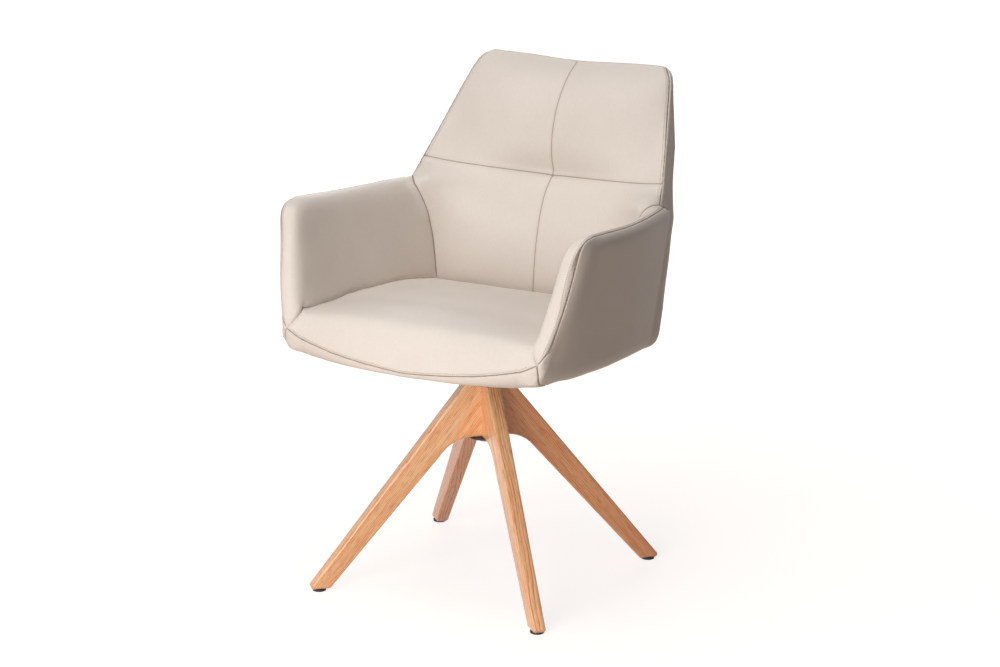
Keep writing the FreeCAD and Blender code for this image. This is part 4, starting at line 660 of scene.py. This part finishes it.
# Wadding fills the hollow in each lower front corner, between the band's end, the cover and the arm's padding
wadding_side, wadding_fore, wadding_height = 0.240, 0.235, 0.0205
wadding_radii = Vector((0.0085, 0.035, 0.0095))
for sign in (-1, 1):
    wadding = bmesh.new()
    middle = Vector((
        sign * wadding_side, swivel_y - wadding_fore * math.cos(tilt) + wadding_height * math.sin(tilt),
        hem_height + wadding_fore * math.sin(tilt) + wadding_height * math.cos(tilt)))
    bmesh.ops.create_uvsphere(
        wadding, u_segments=24, v_segments=16, radius=1,
        matrix=Matrix.LocRotScale(middle, Matrix.Rotation(-tilt, 3, "X"), wadding_radii))
    forms["wadding", sign] = bpy.data.meshes.new("corner_wadding")
    wadding.to_mesh(forms["wadding", sign])
    wadding.free()
skin = tight_skin("upholstery_skin", forms.values(), voxel=0.0029)
pairs = read_edges(skin.data)
coords = relaxed(read_points(skin.data), pairs, 1.0, 12, swell=0.52)
# The lower front corners are drawn smooth over the ends of the band and of the arms' padding
local = seat_frame(coords)
side, fore, height = np.abs(local[:, 0]), -local[:, 1], local[:, 2]
corner = ease(side, 0.195, 0.222) * ease(fore, 0.225, 0.255) * ease(-height, -0.06, -0.04)
coords = relaxed(coords, pairs, corner, 80)
# The arms' fronts are fullest at the middle of their height, and turn in a wide curve into their outer side
nose_fullness, turn_depth = 0.006, 0.006
nose = bell(height - 0.115, 0.06) * ease(fore, 0.15, 0.235) * ease(side, 0.232, 0.25)
coords[:, 0] += np.sign(local[:, 0]) * nose * nose_fullness
turn_in = bell(fore - 0.252, 0.024) * ease(side, 0.243, 0.256) * ease(height, 0.02, 0.05)
coords[:, 0] -= np.sign(local[:, 0]) * turn_in * turn_depth
away = np.stack([reach(coords, forms[node]) for node in soft_nodes + ["seat_board"]], axis=1)
away[:, pads] -= nose[:, None] * nose_fullness
order = np.argsort(away, axis=1)
rows = np.arange(len(coords))
gap = away[rows, order[:, 1]] - away[rows, order[:, 0]]
# No crevice is left open where the seat's front corners press against the arms
pressed = np.isin(order[:, 0], (*pads, cushion)) & np.isin(order[:, 1], (*pads, cushion))
pressed = pressed * ease(-local[:, 1], 0.18, 0.23) * ease(-gap, -0.010, -0.004)
coords = relaxed(coords, pairs, pressed, 45)
# The seat's crown runs into its front roll without an edge, and the arms' padding is round over its front
# and top. The covers turn their corner from the front seam in a wide curve, and the back is nearly flat.
broad = np.where(order[:, 0] == cushion, ease(gap, 0.002, 0.02), 0)
broad = np.where(np.isin(order[:, 0], pads), ease(gap, 0.002, 0.014), broad)
coords = relaxed(coords, pairs, broad, 180)
turned_out = ease(-local[:, 1], 0.16, 0.20) * np.isin(order[:, 0], covers) * ease(gap, 0.001, 0.008)
coords = relaxed(coords, pairs, turned_out, 130)
coords = relaxed(coords, pairs, (order[:, 0] == back_pad) * ease(gap, 0.004, 0.03), 140)
# The lip is drawn smooth where the arms' padding runs into the back's
local = seat_frame(coords)
lip = np.isin(order[:, 0], (*pads, back_pad)) & np.isin(order[:, 1], (*pads, back_pad))
lip = lip * ease(local[:, 2], 0.17, 0.20) * ease(-gap, -0.03, -0.015)
coords = relaxed(coords, pairs, lip, 110)
local = seat_frame(coords)
side, height = np.abs(local[:, 0]), local[:, 2]
# In each front corner four lines meet at the rim seam's foot: the front seam rises to it, the seat's crease
# runs down to it, and an upright seam goes on from it to the hem, between the band and the arm's cover
foot_side, foot_height, corner_top = 0.240, 0.042, 0.066
front_height, front_rise, rise_start, rise_run = 0.0255, 0.0165, 0.208, 0.032
crease_lean, rim_lean = 0.78, 0.66
in_corner = (local[:, 1] < -0.235) & (height < corner_top) & (side > 0.206)
low, mid = in_corner & (height < foot_height), in_corner & (height >= foot_height)
front_seam = height - (front_height + front_rise * (side - rise_start) / rise_run)
upright = side - (foot_side + 0.002 * np.sin(math.pi * np.clip(height / foot_height, 0, 1)))
crease = side - (foot_side - (height - foot_height) * crease_lean)
rim = side - (foot_side + (height - foot_height) * rim_lean)
# Higher up, these lines give way to the natural borders, where two pieces are equally near
natural = ease(height, 0.050, corner_top)
nearest = away.min(axis=1)
far_away = 1.0
for arm, cover in zip(pads, covers):
    here = (local[:, 0] > 0) == (arm == pads[1])
    to_arm = crease * (1 - natural) + (away[:, cushion] - away[:, arm]) * natural
    to_cover = rim * (1 - natural) + (away[:, arm] - away[:, cover]) * natural
    away[:, cushion] = np.where(mid & here, nearest + np.maximum(to_arm, 0), away[:, cushion])
    away[:, arm] = np.where(
        low, far_away,
        np.where(mid & here, nearest + np.maximum(0, np.maximum(-to_arm, to_cover)), away[:, arm]))
    away[:, cover] = np.where(mid & here, nearest + np.maximum(-to_cover, 0), away[:, cover])
    away[:, cover] = np.where(low & here, nearest + np.maximum(-upright, 0), away[:, cover])
away[:, cushion] = np.where(low, nearest + np.maximum(0, np.maximum(-front_seam, upright)), away[:, cushion])
away[:, band] = np.where(low, nearest + np.maximum(0, np.maximum(front_seam, upright)), away[:, band])
away[:, band] = np.where(mid, far_away, away[:, band])
for index in (back_pad, back_cover, board):
    away[:, index] = np.where(low, far_away, away[:, index])
# The nearest piece owns each point, and the points nearest to a border are moved onto it
order = np.argsort(away, axis=1)
first, second = order[:, 0].copy(), order[:, 1].copy()
gap = away[rows, second] - away[rows, first]
on_seam = np.zeros(len(coords), dtype=bool)
for i, j in pairs[first[pairs[:, 0]] != first[pairs[:, 1]]]:
    if on_seam[i] or on_seam[j]:
        continue
    at_i = away[i, first[j]] - away[i, first[i]]
    at_j = away[j, first[i]] - away[j, first[j]]
    near, far, value, other = (i, j, at_i, at_j) if at_i < at_j else (j, i, at_j, at_i)
    coords[near] += (coords[far] - coords[near]) * value / max(value + other, 1e-9)
    second[near] = first[far]
    gap[near] = 0
    on_seam[near] = True
# Each seam runs smoothly, also where it crosses a square of the skin from corner to corner
along = pairs[on_seam[pairs[:, 0]] & on_seam[pairs[:, 1]]]
corners = np.array([polygon.vertices[:] for polygon in skin.data.polygons if len(polygon.vertices) == 4])
marked = on_seam[corners]
crossed = [corners[marked[:, k] & marked[:, k + 2] & ~(marked[:, 1 - k] & marked[:, 3 - k])][:, (k, k + 2)]
           for k in (0, 1)]
along = np.vstack([along] + crossed)
inside_run = np.bincount(along.ravel(), minlength=len(coords)) > 1
coords = relaxed(coords, along, inside_run, 14)
inside_run &= np.hypot(side - foot_side, height - foot_height) > 0.004
in_front = np.isin(first, (band, cushion)) & np.isin(second, (band, cushion)) & (side < 0.2)
coords = relaxed(coords, along, in_front & inside_run, 110)
in_crease = np.isin(first, (*pads, cushion)) & np.isin(second, (*pads, cushion)) & (local[:, 1] < -0.10)
coords = relaxed(coords, along, in_crease & inside_run, 70)
beside = (in_crease | in_front) & ~on_seam
coords = relaxed(coords, pairs, beside * ease(-gap, -0.014, -0.005), 16)
put_points(skin.data, coords)
normals = read_points(skin.data, "normal")
local = seat_frame(coords)
# The back's crossed seams: one down the middle, one across that rises a little to both rims
cross_height, cross_rise, back_half_width = 0.2745, 0.0145, 0.235
cross_line = local[:, 2] - (cross_height + cross_rise * (local[:, 0] / back_half_width) ** 2)
middle_line = local[:, 0].copy()
back_face = (first == back_pad) & (normals[:, 1] < -0.15) & (local[:, 2] > 0.06)
inner_pairs = pairs[back_face[pairs[:, 0]] & back_face[pairs[:, 1]]]
snap(coords, inner_pairs, cross_line)
snap(coords, inner_pairs, middle_line)
cross_gap = np.where(back_face, np.abs(cross_line), far_away)
middle_gap = np.where(back_face, np.abs(middle_line), far_away)
# Creases are where panels only press together; the covers meet unseen, but for a short seam at the rim
both = np.sort(np.stack([first, second], axis=1), axis=1)
is_crease = (both[:, 1] == cushion) & (both[:, 0] != band)
unseen = (both[:, 1] == back_cover) & np.isin(both[:, 0], covers)
rim_away = away[:, (*pads, back_pad)].min(axis=1)
seam_gap = np.where(is_crease, far_away, gap + np.where(unseen, ease(rim_away, 0.008, 0.016), 0))
crease_gap = np.where(is_crease, gap, far_away)
# Where the skin goes on to the board underneath there is no seam
under = (second == board) | (first == board)
seam_gap = np.where(under, far_away, seam_gap)
marks = np.minimum(seam_gap, np.minimum(cross_gap, middle_gap))
faces = split_faces(skin.data, on_seam | (cross_gap == 0) | (middle_gap == 0))
owner = []
for face in faces:
    clear = [v for v in face if not on_seam[v]]
    if clear:
        owner.append(first[max(clear, key=lambda v: gap[v])])
    else:
        owner.append(int(np.argmin(away[list(face)].sum(axis=0))))
# The leather dips into its seams and creases, more so where the crossed seams meet, and is never quite flat
dip = bell(seam_gap, 0.0020) * 0.0006 + bell(seam_gap, 0.007) * 0.0006
side, fore, height = np.abs(local[:, 0]), -local[:, 1], local[:, 2]
tight = bell(side - seat_half_width, 0.022) * ease(fore, 0.225, 0.245)
dip += (bell(crease_gap, 0.003) * 0.003 + bell(crease_gap, 0.010) * 0.0014) * (1 - 0.7 * tight)
dip += bell(cross_gap, 0.0022) * 0.0008 + bell(cross_gap, 0.015) * 0.0016
dip += bell(middle_gap, 0.0022) * 0.0008 + bell(middle_gap, 0.016) * 0.0016
dip -= np.array([noise.noise(Vector(c) * 14) for c in local]) * 0.0009
# Small wrinkles run into the crease at the seat's front corners
pucker = bell(side - 0.216, 0.010) * bell(fore - 0.262, 0.012) * bell(height - 0.061, 0.010)
dip += pucker * np.sin((height - fore * 0.8) * 2 * math.pi / 0.009) * 0.0007
# The back's dips stay within its padding, in front of the board
near_seams = np.flatnonzero((dip > 0.001) & back_face)
dip[near_seams] = np.minimum(dip[near_seams], 0.55 * reach(coords[near_seams], forms["back_board"]))
coords = coords - normals * dip[:, None]
# The back's top edge hangs a little at its middle, and so does the padded top of each arm
coords[:, 2] -= bell(local[:, 0], 0.09) * ease(height, 0.38, 0.47) * 0.0055
along_arm = np.clip((local[:, 1] + 0.21) / 0.34, 0, 1)
on_arm = (side > 0.19) * ease(height, 0.12, 0.24) * ease(-height, -0.29, -0.26)
coords[:, 2] -= on_arm * np.sin(math.pi * along_arm) * 0.004
put_points(skin.data, coords)
normals = read_points(skin.data, "normal")
# The panels, and the lines of the topstitching beside their sewn edges
stitch_inset = 0.005
sewn_pairs = {**dict(zip(pads, covers)), back_pad: back_cover, cushion: band}
stitch_lines = []
for index, node in enumerate(soft_nodes):
    own = [face for face, o in zip(faces, owner) if o == index]
    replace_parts(panel(node + "_leather", coords, normals, own, marks, ~unseen), node)
    if index in sewn_pairs:
        other = sewn_pairs[index]
        edge_faces = [face for face in own if all(second[v] == other or on_seam[v] for v in face)]
        stitch_lines += level_line(coords, edge_faces, gap, stitch_inset)
bpy.data.objects.remove(skin)
bpy.data.objects.remove(foam)


# Topstitching: thread along the arms' and back's rim seams and above the front seam, coloured darker than the
# cream leather as painted shade of its stitch holes.
# Each stitch is a short rounded bar laid on the leather, end to end with a small gap.
def stitches(name, chains, pitch, length, radius):
    """Stitches along chains of points, all in one piece."""
    shortest_chain, look_ahead = 0.03, 0.001
    sides, rings = 6, ((-0.5, 0.25), (-0.34, 0.9), (0.34, 0.9), (0.5, 0.25))
    points, faces = [], []
    for chain in chains:
        for _ in range(3):
            chain[1:-1] = (chain[:-2] + chain[1:-1] * 2 + chain[2:]) / 4
        steps = np.linalg.norm(np.diff(chain, axis=0), axis=1)
        run = np.concatenate([[0], np.cumsum(steps)])
        if run[-1] < shortest_chain:
            continue
        for spot in np.arange(pitch, run[-1] - pitch, pitch):
            places = (spot, spot + look_ahead)
            middle, ahead = (np.array([np.interp(s, run, chain[:, k]) for k in range(3)]) for s in places)
            heading = Vector(ahead - middle).normalized()
            side = heading.orthogonal().normalized()
            other = heading.cross(side)
            base = len(points)
            for place, share in rings:
                for k in range(sides):
                    angle = 2 * math.pi * k / sides
                    offset = (side * math.cos(angle) + other * math.sin(angle)) * radius * share
                    points.append(Vector(middle) + heading * length * place + offset)
            for r in range(len(rings) - 1):
                for k in range(sides):
                    a, b = base + r * sides + k, base + r * sides + (k + 1) % sides
                    faces.append((a, b, b + sides, a + sides))
            faces.append(tuple(base + k for k in reversed(range(sides))))
            faces.append(tuple(base + (len(rings) - 1) * sides + k for k in range(sides)))
    mesh = bpy.data.meshes.new(name)
    mesh.from_pydata(points, [], faces)
    mesh.polygons.foreach_set("use_smooth", [True] * len(mesh.polygons))
    mesh.materials.append(shaded_thread)
    piece = bpy.data.objects.new(name, mesh)
    bpy.context.scene.collection.objects.link(piece)
    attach(piece, "seat")
    return piece


# Painted shade: the thread is given a darker colour than its real cream, to stand for the shade in the stitch
# holes
shaded_thread = plain_finish("thread_darkened_as_shade", (0.50, 0.45, 0.39), 0.6, 0, 0.25, 4000, 0.0001)
stitches("topstitching", stitch_lines, pitch=0.0042, length=0.0030, radius=0.0006)
